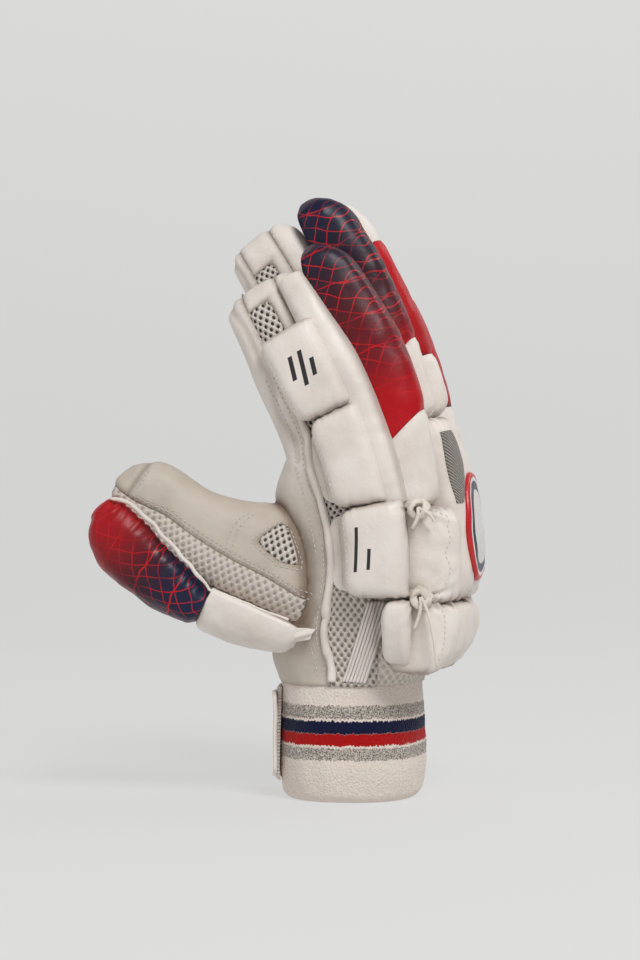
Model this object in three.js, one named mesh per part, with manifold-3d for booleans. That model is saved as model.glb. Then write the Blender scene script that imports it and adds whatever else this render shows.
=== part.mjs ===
// A cricket batting glove for the right hand, standing on its cuff with the fingers up.
// Millimetres, +Z up. While it is built, the cuff's axis is at x = 0, y = 0 on the floor, the back
// of the hand faces +X, the palm faces -X, and the index finger is on the -Y side. At the end the
// whole glove is moved so that the middle of its box stands on the origin.
import * as THREE from "three";
import { mergeVertices } from "three/addons/utils/BufferGeometryUtils.js";
import Module from "manifold-3d";

const wasm = await Module();
wasm.setup();

// Hand and fingers
const HAND_LENGTH = 238; // along the back of the middle finger, from the wrist seam
const BODY_DEPTH = 70; // palm to back
const STALL_WIDTH = 23;
const STALL_DEPTH = 45;
const FINGER_SPACE = 1; // between two finger stalls
const WALL = 2; // leather, mesh and lining together
const SHORT_EDGE = 0.03; // shorter edges than this are closed up
const GAP = 0.3; // between two pieces that touch
const BACK_REACH = 31.5; // the back of the hand stands this far from the cuff's axis

// Padding
const ROLL_HEIGHT = 25;
const ROLL_SPACE = 0.6; // between two rolls
const PAD_HEIGHT = 27;
const SIDE_PAD_DEPTH = 14;
const SEAM_GAP = 1.4; // between two pads, where the leather is pinched

// Thumb
const THUMB_LENGTH = 117;
const THUMB_DEPTH = 58;
const THUMB_WIDTH = 32;
const THUMB_TURN = 12; // degrees, out of the plane of the hand
const GUARD_HEIGHT = 17;
const CAP_HEIGHT = 19;
const CAP_SIDE = 3; // what the cap's padding adds on either side of the thumb

// Cuff
const CUFF_HEIGHT = 55;
const CUFF_DEPTH = 65;
const CUFF_WIDTH = 76;
const CUFF_WALL = 3;
const STRAP_THICKNESS = 1.8;
const STRAP_WIDTH = 44;
const TAB_LIFT = 3;

// Trim
const PIPING_WIDTH = 2.6;
const PIPING_HEIGHT = 1.5;
const TAPE_WIDTH = 8.5;
const TAPE_THICKNESS = 1.2;
const BADGE_WIDTH = 32;
const BADGE_HEIGHT = 46;
const BADGE_THICKNESS = 2.2;
const TRIM_THICKNESS = 1.6;
const KNOT = 8;

const PITCH = STALL_WIDTH + FINGER_SPACE;
const PALM_WIDTH = 4 * PITCH - FINGER_SPACE;
const ROLL_WIDTH = PITCH - ROLL_SPACE;

// The line along the back of each finger: at is a share of HAND_LENGTH from the wrist seam, and
// lean is the angle in degrees by which the line leans towards the palm there.
const INDEX_LINE = [
  { at: 0, lean: -3 },
  { at: 0.172, lean: -1 },
  { at: 0.26, lean: 3 },
  { at: 0.336, lean: 8 },
  { at: 0.403, lean: 12 },
  { at: 0.466, lean: 17 },
  { at: 0.567, lean: 25 },
  { at: 0.676, lean: 28 },
  { at: 0.866, lean: 29 },
  { at: 1.1, lean: 29 },
];
const FINGER_LINE = [
  { at: 0, lean: -3 },
  { at: 0.172, lean: -1 },
  { at: 0.26, lean: 3 },
  { at: 0.336, lean: 8 },
  { at: 0.403, lean: 12 },
  { at: 0.466, lean: 16 },
  { at: 0.567, lean: 19.5 },
  { at: 0.676, lean: 22 },
  { at: 0.786, lean: 26 },
  { at: 0.891, lean: 31 },
  { at: 1, lean: 36 },
  { at: 1.1, lean: 36 },
];
// The thumb's line runs along the seam between its mesh and its padded back. Here at is a share
// of THUMB_LENGTH, and lean is measured from upright, away from the palm.
const THUMB_LINE = [
  { at: 0, lean: 68 },
  { at: 0.35, lean: 66 },
  { at: 0.52, lean: 58 },
  { at: 0.69, lean: 50 },
  { at: 0.82, lean: 44 },
  { at: 1.1, lean: 44 },
];

// Rings of the hand: at is a share of HAND_LENGTH, low and high (palm and back) are shares of
// BODY_DEPTH from the back line, left and right are shares of PALM_WIDTH.
const BODY_ROWS = [
  { at: 0.0, low: -0.953, high: 0.03, left: -0.4, right: 0.4 },
  { at: 0.046, low: -0.99, high: 0.05, left: -0.415, right: 0.415 },
  { at: 0.092, low: -0.985, high: 0, left: -0.442, right: 0.432 },
  { at: 0.189, low: -0.957, high: 0, left: -0.484, right: 0.463 },
  { at: 0.357, low: -0.93, high: -0.006, left: -0.497, right: 0.48 },
  { at: 0.441, low: -0.9, high: -0.012, left: -0.487, right: 0.475 },
  { at: 0.504, low: -0.79, high: -0.03, left: -0.46, right: 0.45 },
  { at: 0.538, low: -0.66, high: -0.07, left: -0.41, right: 0.4 },
  { at: 0.55, low: -0.54, high: -0.14, left: -0.34, right: 0.33 },
];
// Rings of a finger stall: run is a share of the stall's length, low and high are shares of
// STALL_DEPTH, wide is a share of STALL_WIDTH.
const STALL_ROWS = [
  { run: 0, low: -1, high: -0.05, wide: 0.92 },
  { run: 0.12, low: -1.06, high: 0, wide: 1 },
  { run: 0.35, low: -1.03, high: 0, wide: 1 },
  { run: 0.6, low: -1.02, high: 0, wide: 1 },
  { run: 0.85, low: -0.96, high: 0, wide: 0.99 },
  { run: 0.955, low: -0.94, high: -0.03, wide: 0.93 },
  { run: 1, low: -0.84, high: -0.13, wide: 0.72 },
];
// Where the palm's leather ends: edge is a share of BODY_DEPTH from the back line.
const PALM_EDGE = [
  { at: -0.04, edge: -0.486 },
  { at: 0.02, edge: -0.49 },
  { at: 0.1, edge: -0.545 },
  { at: 0.172, edge: -0.52 },
  { at: 0.26, edge: -0.486 },
  { at: 0.403, edge: -0.505 },
  { at: 0.466, edge: -0.514 },
  { at: 0.567, edge: -0.46 },
  { at: 1.1, edge: -0.436 },
];
const BACK_EDGE = -0.186; // where the back's leather ends, a share of BODY_DEPTH
const STALL_START = 0.399; // shares of HAND_LENGTH
// end and rollEnd are shares of HAND_LENGTH, deep is a share of STALL_DEPTH at the fingertip.
const FINGERS = {
  index: { lane: -1.5, end: 0.866, rollEnd: 0.881, deep: 1 },
  middle: { lane: -0.5, end: 0.982, rollEnd: 0.98, deep: 0.93 },
  ring: { lane: 0.5, end: 0.978, rollEnd: 0.981, deep: 0.93 },
  little: { lane: 1.5, end: 0.861, rollEnd: 0.87, deep: 0.97 },
};
// Rings of the thumb: at is a share of THUMB_LENGTH, low and high are shares of THUMB_DEPTH,
// wide is a share of THUMB_WIDTH.
const THUMB_ROWS = [
  { at: 0.02, low: -1, high: 0, wide: 0.96 },
  { at: 0.17, low: -0.96, high: 0, wide: 1 },
  { at: 0.34, low: -0.87, high: 0, wide: 1 },
  { at: 0.51, low: -0.78, high: 0, wide: 1 },
  { at: 0.68, low: -0.7, high: 0, wide: 0.98 },
  { at: 0.81, low: -0.67, high: -0.02, wide: 0.94 },
  { at: 0.91, low: -0.62, high: -0.05, wide: 0.86 },
  { at: 0.97, low: -0.54, high: -0.09, wide: 0.72 },
  { at: 1, low: -0.44, high: -0.17, wide: 0.46 },
];
// The upper edge of the thumb's mesh: edge is a share of THUMB_DEPTH.
const THUMB_EDGE = [
  { at: -0.1, edge: -0.24 },
  { at: 0, edge: -0.24 },
  { at: 0.265, edge: -0.31 },
  { at: 0.52, edge: -0.33 },
  { at: 0.74, edge: -0.32 },
  { at: 0.92, edge: -0.2 },
  { at: 1.1, edge: -0.16 },
];
// How a pad or roll thins towards an end: run is a share of the end's length, lift, thick and wide
// are shares of the full thickness and width. lift raises the side that lies on the hand.
const DOME = [
  { run: 0, lift: 0.24, thick: 0.62, wide: 0.7 },
  { run: 0.16, lift: 0.08, thick: 0.8, wide: 0.87 },
  { run: 0.5, lift: 0, thick: 0.94, wide: 0.97 },
  { run: 1, lift: 0, thick: 1, wide: 1 },
];
const PINCH = [
  { run: 0, lift: 0, thick: 0.72, wide: 0.95 },
  { run: 0.35, lift: 0, thick: 0.92, wide: 0.99 },
  { run: 1, lift: 0, thick: 1, wide: 1 },
];
const FLUSH = [
  { run: 0, lift: 0, thick: 0.9, wide: 0.97 },
  { run: 1, lift: 0, thick: 1, wide: 1 },
];

const radians = THREE.MathUtils.degToRad;
const mix = THREE.MathUtils.lerp;

// The value of a table's column at a place along it.
function along(table, column, at, key = "at") {
  let i = 1;
  while (i < table.length - 1 && table[i][key] < at) i++;
  const a = table[i - 1];
  const b = table[i];
  const share = THREE.MathUtils.clamp((at - a[key]) / (b[key] - a[key]), 0, 1);
  return mix(a[column], b[column], share);
}

// A bent line in an upright plane. out is the level direction that it leans to, back is +1 where
// its padded side faces away from out and -1 where it faces out.
class Line {
  constructor(start, out, back, table, length) {
    this.start = start;
    this.out = out;
    this.back = back;
    this.table = table;
    this.length = length;
    this.across = new THREE.Vector3(0, 0, 1).cross(out).multiplyScalar(-back);
    this.step = length / 240;
    this.path = [[0, 0]];
    for (let i = 0; i < 280; i++) {
      const lean = radians(along(table, "lean", (i + 0.5) / 240));
      const [level, up] = this.path[i];
      this.path.push([level + Math.sin(lean) * this.step, up + Math.cos(lean) * this.step]);
    }
  }
  lean(s) {
    return radians(along(this.table, "lean", s / this.length));
  }
  point(s) {
    const i = THREE.MathUtils.clamp(Math.floor(s / this.step), 0, this.path.length - 2);
    const share = s / this.step - i;
    const level = mix(this.path[i][0], this.path[i + 1][0], share);
    const up = mix(this.path[i][1], this.path[i + 1][1], share);
    return this.start.clone().addScaledVector(this.out, level).add(new THREE.Vector3(0, 0, up));
  }
  tangent(s) {
    const lean = this.lean(s);
    return this.out.clone().multiplyScalar(Math.sin(lean)).setZ(Math.cos(lean));
  }
  normal(s) {
    const lean = this.lean(s);
    const level = this.out.clone().multiplyScalar(-Math.cos(lean) * this.back);
    return level.setZ(Math.sin(lean) * this.back);
  }
  // The point at s along the line, t above it towards the padded side, and w across.
  place(s, t, w) {
    const point = this.point(s).addScaledVector(this.normal(s), t);
    return point.addScaledVector(this.across, w);
  }
}

// Sections, as points [up, across] from 0 to 1, anticlockwise about the line.
const power = (x, n) => Math.sign(x) * Math.abs(x) ** (2 / n);
function oval(sides, n) {
  return Array.from({ length: sides }, (_, i) => {
    const a = ((i + 0.5) / sides) * 2 * Math.PI;
    return [0.5 + 0.5 * power(Math.cos(a), n), 0.5 + 0.5 * power(Math.sin(a), n)];
  });
}
// A dee lies on its flat side: base is "low" or "right".
function dee(steps, n, base = "low") {
  return Array.from({ length: steps + 1 }, (_, i) => {
    const a = (i / steps - 0.5) * Math.PI;
    const height = Math.abs(power(Math.cos(a), n));
    const side = 0.5 + 0.5 * power(Math.sin(a), n);
    return base === "low" ? [height, side] : [side, 1 - height];
  });
}
const RECTANGLE = [
  [1, 0],
  [1, 1],
  [0, 1],
  [0, 0],
];

// A closed solid through rings along a line. A row holds at in millimetres, low and high (the
// ring's reach up and down from the line), left and right (its reach across).
function loft(line, side, rows, section) {
  const points = [];
  const faces = [];
  const n = section.length;
  for (const row of rows)
    for (const [up, over] of section)
      points.push(
        line.place(row.at, mix(row.low, row.high, up), side + mix(row.left, row.right, over)),
      );
  for (let r = 0; r + 1 < rows.length; r++)
    for (let i = 0; i < n; i++) {
      const j = (i + 1) % n;
      const a = r * n + i;
      const b = r * n + j;
      faces.push(a, b, b + n, a, b + n, a + n);
    }
  for (const [base, front] of [
    [0, false],
    [(rows.length - 1) * n, true],
  ]) {
    const middle = new THREE.Vector3();
    for (let i = 0; i < n; i++) middle.addScaledVector(points[base + i], 1 / n);
    const m = points.push(middle) - 1;
    for (let i = 0; i < n; i++) {
      const j = (i + 1) % n;
      faces.push(...(front ? [base + i, base + j, m] : [base + j, base + i, m]));
    }
  }
  const geometry = new THREE.BufferGeometry().setFromPoints(points);
  geometry.setIndex(faces);
  return solidOf(geometry);
}

function solidOf(geometry) {
  const bare = geometry.clone();
  bare.deleteAttribute("normal");
  bare.deleteAttribute("uv");
  const merged = mergeVertices(bare, 1e-4);
  const made = new wasm.Manifold(
    new wasm.Mesh({
      numProp: 3,
      vertProperties: merged.attributes.position.array,
      triVerts: new Uint32Array(merged.index.array),
    }),
  );
  return made;
}

// A cut leaves some edges too short to matter. Each one is closed up where that is safe.
function closeShortEdges(points, faces) {
  for (;;) {
    const around = points.map(() => new Set());
    for (const [a, b, c] of faces) {
      around[a].add(b).add(c);
      around[b].add(c).add(a);
      around[c].add(a).add(b);
    }
    const moved = new Map();
    const touched = new Set();
    for (const face of faces)
      for (let i = 0; i < 3; i++) {
        const a = face[i];
        const b = face[(i + 1) % 3];
        if (a > b || points[a].distanceTo(points[b]) > SHORT_EDGE) continue;
        const near = [a, b, ...around[a], ...around[b]];
        const shared = [...around[a]].filter((v) => around[b].has(v));
        if (shared.length !== 2 || near.some((v) => touched.has(v))) continue;
        moved.set(b, a);
        for (const v of near) touched.add(v);
      }
    if (!moved.size) return faces;
    faces = faces
      .map((face) => face.map((v) => moved.get(v) ?? v))
      .filter(([a, b, c]) => a !== b && b !== c && c !== a);
  }
}

// A cut can leave crumbs beside the piece: only the largest body is kept.
function largestBody(points, faces) {
  const parent = points.map((_, i) => i);
  const root = (i) => {
    while (parent[i] !== i) i = parent[i] = parent[parent[i]];
    return i;
  };
  for (const [a, b, c] of faces) {
    parent[root(a)] = root(b);
    parent[root(b)] = root(c);
  }
  const volume = new Map();
  for (const [a, b, c] of faces) {
    const slice = points[a].dot(points[b].clone().cross(points[c])) / 6;
    volume.set(root(a), (volume.get(root(a)) ?? 0) + slice);
  }
  const [best] = [...volume].reduce((x, y) => (y[1] > x[1] ? y : x));
  return faces.filter(([a]) => root(a) === best);
}

function geometryOf(solid) {
  const mesh = solid.getMesh();
  const points = [];
  for (let i = 0; i < mesh.vertProperties.length; i += mesh.numProp)
    points.push(new THREE.Vector3(...mesh.vertProperties.slice(i, i + 3)));
  const faces = [];
  for (let i = 0; i < mesh.triVerts.length; i += 3) faces.push([...mesh.triVerts.slice(i, i + 3)]);
  const kept = largestBody(points, closeShortEdges(points, faces));
  const geometry = new THREE.BufferGeometry().setFromPoints(kept.flat().map((v) => points[v]));
  return mergeVertices(geometry, 1e-4);
}

const joined = (solids) => solids.reduce((a, b) => a.add(b));
const without = (solid, ...tools) => tools.reduce((a, b) => a.subtract(b), solid);

// Everything above a level, or above a point of a line where the cut tilts by an angle.
const FAR = 3 * HAND_LENGTH;
function above(level) {
  return solidOf(new THREE.BoxGeometry(FAR, FAR, FAR).translate(0, 0, level + FAR / 2));
}
function beyond(line, side, s, tilt = 0) {
  const box = new THREE.BoxGeometry(FAR, FAR, FAR).translate(0, 0, FAR / 2);
  const up = line.tangent(s).applyAxisAngle(line.across, radians(tilt));
  const turn = new THREE.Quaternion().setFromUnitVectors(new THREE.Vector3(0, 0, 1), up);
  const at = line.place(s, 0, side);
  box.applyQuaternion(turn);
  return solidOf(box.translate(at.x, at.y, at.z));
}
const block = (x0, x1, y0, y1, z0, z1) =>
  solidOf(
    new THREE.BoxGeometry(x1 - x0, y1 - y0, z1 - z0).translate(
      (x0 + x1) / 2,
      (y0 + y1) / 2,
      (z0 + z1) / 2,
    ),
  );

const PALMWARD = new THREE.Vector3(-1, 0, 0);
const LINE_DROP = 2; // the finger lines start this far under the seam with the cuff
const handStart = new THREE.Vector3(BACK_REACH, 0, CUFF_HEIGHT - LINE_DROP);
const indexLine = new Line(handStart, PALMWARD, 1, INDEX_LINE, HAND_LENGTH);
const handLine = new Line(handStart, PALMWARD, 1, FINGER_LINE, HAND_LENGTH);
const upright = new Line(
  new THREE.Vector3(),
  PALMWARD,
  1,
  [
    { at: 0, lean: 0 },
    { at: 1, lean: 0 },
  ],
  CUFF_HEIGHT,
);
const thumbOut = PALMWARD.clone().applyAxisAngle(new THREE.Vector3(0, 0, 1), radians(THUMB_TURN));
const thumbStart = new THREE.Vector3(
  BACK_REACH - 0.68 * BODY_DEPTH,
  -0.316 * PALM_WIDTH,
  CUFF_HEIGHT + 0.0925 * HAND_LENGTH,
);
const thumbLine = new Line(thumbStart, thumbOut, -1, THUMB_LINE, THUMB_LENGTH);

const lineOf = (name) => (name === "index" ? indexLine : handLine);
const laneOf = (name) => FINGERS[name].lane * PITCH;

// The hand between the cuff and the fingers, grown or shrunk by grow.
function body(grow, sides = 16) {
  const rows = BODY_ROWS.map((row) => ({
    at: row.at * HAND_LENGTH,
    low: row.low * BODY_DEPTH - grow,
    high: row.high * BODY_DEPTH + grow,
    left: row.left * PALM_WIDTH - grow,
    right: row.right * PALM_WIDTH + grow,
  }));
  rows[rows.length - 1].at += grow;
  rows.unshift({ ...rows[0], at: rows[0].at - CUFF_HEIGHT * 0.1 });
  return loft(handLine, 0, rows, oval(sides, 2.8));
}
function stall(name, grow, sides = 12) {
  const start = STALL_START * HAND_LENGTH;
  const end = FINGERS[name].end * HAND_LENGTH;
  const half = STALL_WIDTH / 2;
  const rows = STALL_ROWS.map((row) => ({
    at: mix(start, end, row.run),
    low: row.low * STALL_DEPTH * mix(1, FINGERS[name].deep, row.run) - grow,
    high: row.high * STALL_DEPTH + grow,
    left: -row.wide * half - grow,
    right: row.wide * half + grow,
  }));
  rows[rows.length - 1].at += grow;
  return loft(lineOf(name), laneOf(name), rows, oval(sides, 2.8));
}
function thumb(grow, sides = 14) {
  const half = THUMB_WIDTH / 2;
  const rows = THUMB_ROWS.map((row) => ({
    at: row.at * THUMB_LENGTH,
    low: row.low * THUMB_DEPTH - grow,
    high: row.high * THUMB_DEPTH + grow,
    left: -row.wide * half - grow,
    right: row.wide * half + grow,
  }));
  rows[rows.length - 1].at += grow;
  if (grow < 0) rows.unshift({ ...rows[0], at: rows[0].at - 0.08 * THUMB_LENGTH });
  return loft(thumbLine, 0, rows, oval(sides, 2.6));
}

// A slab that follows a line, from one edge to another, over one lane.
function slab(line, table, size, from, to, left, right) {
  const rows = table.map((row) => ({
    at: row.at * line.length,
    low: from(row) * size,
    high: to(row) * size,
    left,
    right,
  }));
  return loft(line, 0, rows, RECTANGLE);
}

// A prism between two outlines with the same number of points, for a punch.
function prism(near, far) {
  const n = near.length;
  const faces = [];
  for (let i = 0; i < n; i++) {
    const j = (i + 1) % n;
    faces.push(i, j, j + n, i, j + n, i + n);
    if (i > 0 && i < n - 1) faces.push(0, i + 1, i, n, n + i, n + i + 1);
  }
  const geometry = new THREE.BufferGeometry().setFromPoints([...near, ...far]);
  geometry.setIndex(faces);
  const made = solidOf(geometry);
  if (made.volume() > 0) return made;
  geometry.setIndex(faces.toReversed());
  return solidOf(geometry);
}

const names = Object.keys(FINGERS);
const lanes = names.map((name, i) => ({
  name,
  line: lineOf(name),
  left: i === 0 ? -FAR / 4 : (i - 2) * PITCH + GAP / 2,
  right: i === 3 ? FAR / 4 : (i - 1) * PITCH - GAP / 2,
}));

const bodyOuter = body(0);
const bodyClear = body(GAP);
const thumbInner = thumb(-WALL);
const handOuter = joined([bodyOuter, ...names.map((name) => stall(name, 0))]);
const handInner = joined([body(-WALL), ...names.map((name) => stall(name, -WALL))]);
const handClear = joined([bodyClear, ...names.map((name) => stall(name, GAP))]);
const seam = above(CUFF_HEIGHT + GAP);
const shell = without(handOuter, handInner, thumbInner).intersect(seam);

// The palm's edge and the back's edge are joined into one table of rows for the cutting slabs.
const stops = [-0.04, 0.02, 0.1, 0.172, 0.26, 0.403, 0.466, 0.567, 0.676, 0.786, 0.891, 1.1];
const edges = stops.map((at) => ({ at, palm: along(PALM_EDGE, "edge", at), back: BACK_EDGE }));
const half = GAP / 2 / BODY_DEPTH;
const cut = (lane, from, to, wide = 0) =>
  slab(lane.line, edges, BODY_DEPTH, from, to, lane.left - wide, lane.right + wide);

const material = (color, roughness) =>
  new THREE.MeshStandardMaterial({ color, roughness, metalness: 0 });
const WHITE = material(0xe9e4dd, 0.55);
const GLOSS = material(0x8c1f2c, 0.3);
const NAVY = material(0x23263a, 0.45);
const MESH = material(0xe4dfd8, 0.85);
const KNIT = material(0xe2dcd6, 0.95);
const TAPE = material(0xdccfcb, 0.8);
const GREY = material(0x9a9aa0, 0.6);

const hand = new THREE.Group();
function add(name, solid, look) {
  const mesh = new THREE.Mesh(geometryOf(solid), look);
  mesh.name = name;
  hand.add(mesh);
}

// Leather of the palm and finger fronts
const palmCut = joined(lanes.map((lane) => cut(lane, () => -2, (row) => row.palm - half, GAP)));
add("palm_leather", shell.intersect(palmCut), WHITE);
// Mesh walls of the fingers
for (const lane of lanes)
  add(
    `${lane.name}_gusset`,
    shell.intersect(cut(lane, (row) => row.palm + half, (row) => row.back - half)),
    MESH,
  );
// Leather of the back, with the gathered mesh under it
const backCut = joined(lanes.map((lane) => cut(lane, (row) => row.back + half, () => 2, GAP)));
const backShell = shell.intersect(backCut);
const wristLine = 0.094 * HAND_LENGTH;
add("back_leather", backShell.intersect(beyond(handLine, 0, wristLine + GAP / 2)), WHITE);
add("wrist_mesh", without(backShell, beyond(handLine, 0, wristLine - GAP / 2)), MESH);

// Thumb stall: leather in front, a mesh strip along the side, and a back under the guard
const thumbShell = without(thumb(0), thumbInner, bodyClear);
const thumbHalf = GAP / 2 / THUMB_DEPTH;
const thumbSlab = (from, to) =>
  slab(thumbLine, THUMB_EDGE, THUMB_DEPTH, from, to, -THUMB_WIDTH, THUMB_WIDTH);
const UNDER = -0.04; // the mesh ends here, a share of THUMB_DEPTH
// The mesh window in the thumb's base: at is a share of THUMB_LENGTH, up a share of THUMB_DEPTH.
const VENT = [
  { at: 0.32, up: -0.55 },
  { at: 0.3, up: -0.62 },
  { at: 0.265, up: -0.73 },
  { at: 0.24, up: -0.735 },
  { at: 0.165, up: -0.56 },
  { at: 0.155, up: -0.52 },
  { at: 0.215, up: -0.485 },
];
function ventPunch(grow) {
  const middle = VENT.reduce((sum, { at, up }) => [sum[0] + at / 7, sum[1] + up / 7], [0, 0]);
  const ring = VENT.map(({ at, up }) => {
    const s = (at - middle[0]) * THUMB_LENGTH;
    const t = (up - middle[1]) * THUMB_DEPTH;
    const far = 1 + grow / Math.hypot(s, t);
    return [middle[0] * THUMB_LENGTH + s * far, middle[1] * THUMB_DEPTH + t * far];
  });
  return prism(
    ring.map(([s, t]) => thumbLine.place(s, t, 0.2 * THUMB_WIDTH)),
    ring.map(([s, t]) => thumbLine.place(s, t, THUMB_WIDTH)),
  );
}
const thumbFront = thumbShell.intersect(thumbSlab(() => -2, (row) => row.edge - thumbHalf));
add("thumb_leather", without(thumbFront, ventPunch(GAP)), WHITE);
add("thumb_vent", thumbShell.intersect(ventPunch(0)), MESH);
add(
  "thumb_mesh",
  thumbShell.intersect(thumbSlab((row) => row.edge + thumbHalf, () => UNDER - thumbHalf)),
  MESH,
);
add("thumb_back", thumbShell.intersect(thumbSlab(() => UNDER + thumbHalf, () => 2)), WHITE);

// A pad between two places along a line. low, high, left and right are lengths, or functions of
// the place. It thins towards each end by a table, over the end's length.
const value = (x, s) => (typeof x === "function" ? x(s) : x);
function cushion({ line, side = 0, from, to, low, high, left, right, start, end, section, steps = 2 }) {
  const on = section === SIDE_DEE ? "right" : "low";
  const rows = [];
  const push = (at, { lift, thick, wide }) => {
    let [lo, hi, le, ri] = [low, high, left, right].map((x) => value(x, at));
    if (on === "low") {
      [lo, hi] = [mix(lo, hi, lift), mix(lo, hi, thick)];
      const middle = (le + ri) / 2;
      le = middle + (le - middle) * wide;
      ri = middle + (ri - middle) * wide;
    } else {
      [ri, le] = [mix(ri, le, lift), mix(ri, le, thick)];
      const middle = (lo + hi) / 2;
      lo = middle + (lo - middle) * wide;
      hi = middle + (hi - middle) * wide;
    }
    rows.push({ at, low: lo, high: hi, left: le, right: ri });
  };
  const full = end.table[end.table.length - 1];
  for (const row of start.table) push(from + row.run * start.length, row);
  const first = from + start.length;
  const last = to - end.length;
  for (let i = 1; i < steps; i++) push(mix(first, last, i / steps), full);
  for (const row of [...end.table].reverse()) push(to - row.run * end.length, row);
  return loft(line, side, rows, section);
}
const ROLL_DEE = dee(10, 3);
const PAD_DEE = dee(10, 4);
const SIDE_DEE = dee(8, 3.2, "right");

// Rolls on the fingers
const rollHalf = ROLL_WIDTH / 2;
const ROLL_START = 0.349; // shares of HAND_LENGTH: under the index and little rolls
const CENTRE_START = 0.513; // and under the middle and ring rolls
// Height along a roll: at is a share of its length, high a share of ROLL_HEIGHT.
const INDEX_CROWN = [
  { at: 0, high: 0.72 },
  { at: 0.1, high: 0.74 },
  { at: 0.28, high: 0.83 },
  { at: 0.36, high: 0.91 },
  { at: 0.6, high: 1.01 },
  { at: 0.82, high: 0.94 },
  { at: 1, high: 0.88 },
];
const MIDDLE_CROWN = [
  { at: 0, high: 0.92 },
  { at: 0.3, high: 0.97 },
  { at: 0.6, high: 1 },
  { at: 1, high: 0.94 },
];
const RING_CROWN = [
  { at: 0, high: 1 },
  { at: 0.3, high: 1.06 },
  { at: 0.6, high: 1.06 },
  { at: 1, high: 0.97 },
];
const LITTLE_CROWN = [
  { at: 0, high: 0.8 },
  { at: 0.3, high: 0.9 },
  { at: 0.6, high: 0.98 },
  { at: 1, high: 0.9 },
];
// Each roll is sewn from panels: cuts are shares of HAND_LENGTH, and tilt slants the seam.
const PANELS = {
  index: { crown: INDEX_CROWN, cuts: [0.47], tilt: -30, panels: ["knuckle", "printed"] },
  middle: { crown: MIDDLE_CROWN, cuts: [0.605], tilt: -30, panels: ["knuckle", "printed"] },
  ring: {
    crown: RING_CROWN,
    cuts: [0.63, 0.865],
    tilt: 0,
    panels: ["knuckle", "printed", "tip"],
  },
  little: {
    crown: LITTLE_CROWN,
    cuts: [0.53, 0.76],
    tilt: 0,
    panels: ["knuckle", "printed", "tip"],
  },
};
function roll(name) {
  const outer = name === "index" || name === "little";
  const from = (outer ? ROLL_START : CENTRE_START) * HAND_LENGTH;
  const to = FINGERS[name].rollEnd * HAND_LENGTH;
  return cushion({
    line: lineOf(name),
    side: laneOf(name),
    from,
    to,
    low: GAP,
    high: (s) => GAP + ROLL_HEIGHT * along(PANELS[name].crown, "high", (s - from) / (to - from)),
    left: -rollHalf,
    right: rollHalf,
    start: { table: PINCH, length: 0.035 * HAND_LENGTH },
    end: { table: DOME, length: 0.075 * HAND_LENGTH },
    section: ROLL_DEE,
    steps: 5,
  });
}
for (const name of names) {
  const { cuts, tilt, panels } = PANELS[name];
  let rest = roll(name);
  cuts.forEach((at, i) => {
    const s = at * HAND_LENGTH;
    const top = beyond(lineOf(name), laneOf(name), s + GAP / 2, tilt);
    const bottom = beyond(lineOf(name), laneOf(name), s - GAP / 2, tilt);
    add(`${name}_roll_${panels[i]}`, without(rest, bottom), i === 0 ? WHITE : GLOSS);
    rest = rest.intersect(top);
  });
  add(`${name}_roll_${panels[cuts.length]}`, rest, cuts.length === 1 ? GLOSS : WHITE);
}

// Pads on the back of the hand, in three columns and two rows
// left and right count finger lanes from the middle of the hand, and height is a share of
// PAD_HEIGHT, because the back of the hand is arched.
const COLUMNS = {
  index: { left: -2, right: -1, upper: ROLL_START, height: 0.94 },
  centre: { left: -1, right: 1, upper: CENTRE_START, height: 1 },
  little: { left: 1, right: 2, upper: ROLL_START, height: 0.86 },
};
const ROW_SEAM = 0.169; // shares of HAND_LENGTH
const ROW_FOOT = 0.036;
// Height of the pads: at is a share of HAND_LENGTH, high a share of PAD_HEIGHT.
const PAD_CROWN = [
  { at: 0.036, high: 0.63 },
  { at: 0.055, high: 0.73 },
  { at: 0.08, high: 0.83 },
  { at: 0.13, high: 0.93 },
  { at: 0.25, high: 0.97 },
  { at: 0.36, high: 1 },
  { at: 0.52, high: 0.97 },
];
function backPad(column, from, to, grow = 0) {
  const { left, right, height } = COLUMNS[column];
  const full = PAD_HEIGHT * height;
  const centre = column === "centre";
  const pad = cushion({
    line: handLine,
    from,
    to,
    low: GAP,
    high: (s) => GAP + full * along(PAD_CROWN, "high", s / HAND_LENGTH) + grow,
    left: left * PITCH + ROLL_SPACE / 2 - grow,
    right: right * PITCH - ROLL_SPACE / 2 + grow,
    start: { table: FLUSH, length: 0.02 * HAND_LENGTH },
    end: { table: to / HAND_LENGTH > 0.3 ? PINCH : FLUSH, length: 0.02 * HAND_LENGTH },
    section: centre ? dee(14, 5) : PAD_DEE,
    steps: centre ? 3 : 2,
  });
  return without(pad, bodyClear);
}
const pads = {};
for (const column of Object.keys(COLUMNS)) {
  const seamAt = ROW_SEAM * HAND_LENGTH;
  const top = COLUMNS[column].upper * HAND_LENGTH - SEAM_GAP;
  pads[`${column}_pad_upper`] = backPad(column, seamAt + SEAM_GAP / 2, top);
  pads[`${column}_pad_lower`] = backPad(column, ROW_FOOT * HAND_LENGTH, seamAt - SEAM_GAP / 2);
}
for (const [name, pad] of Object.entries(pads)) add(name, pad, WHITE);

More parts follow.
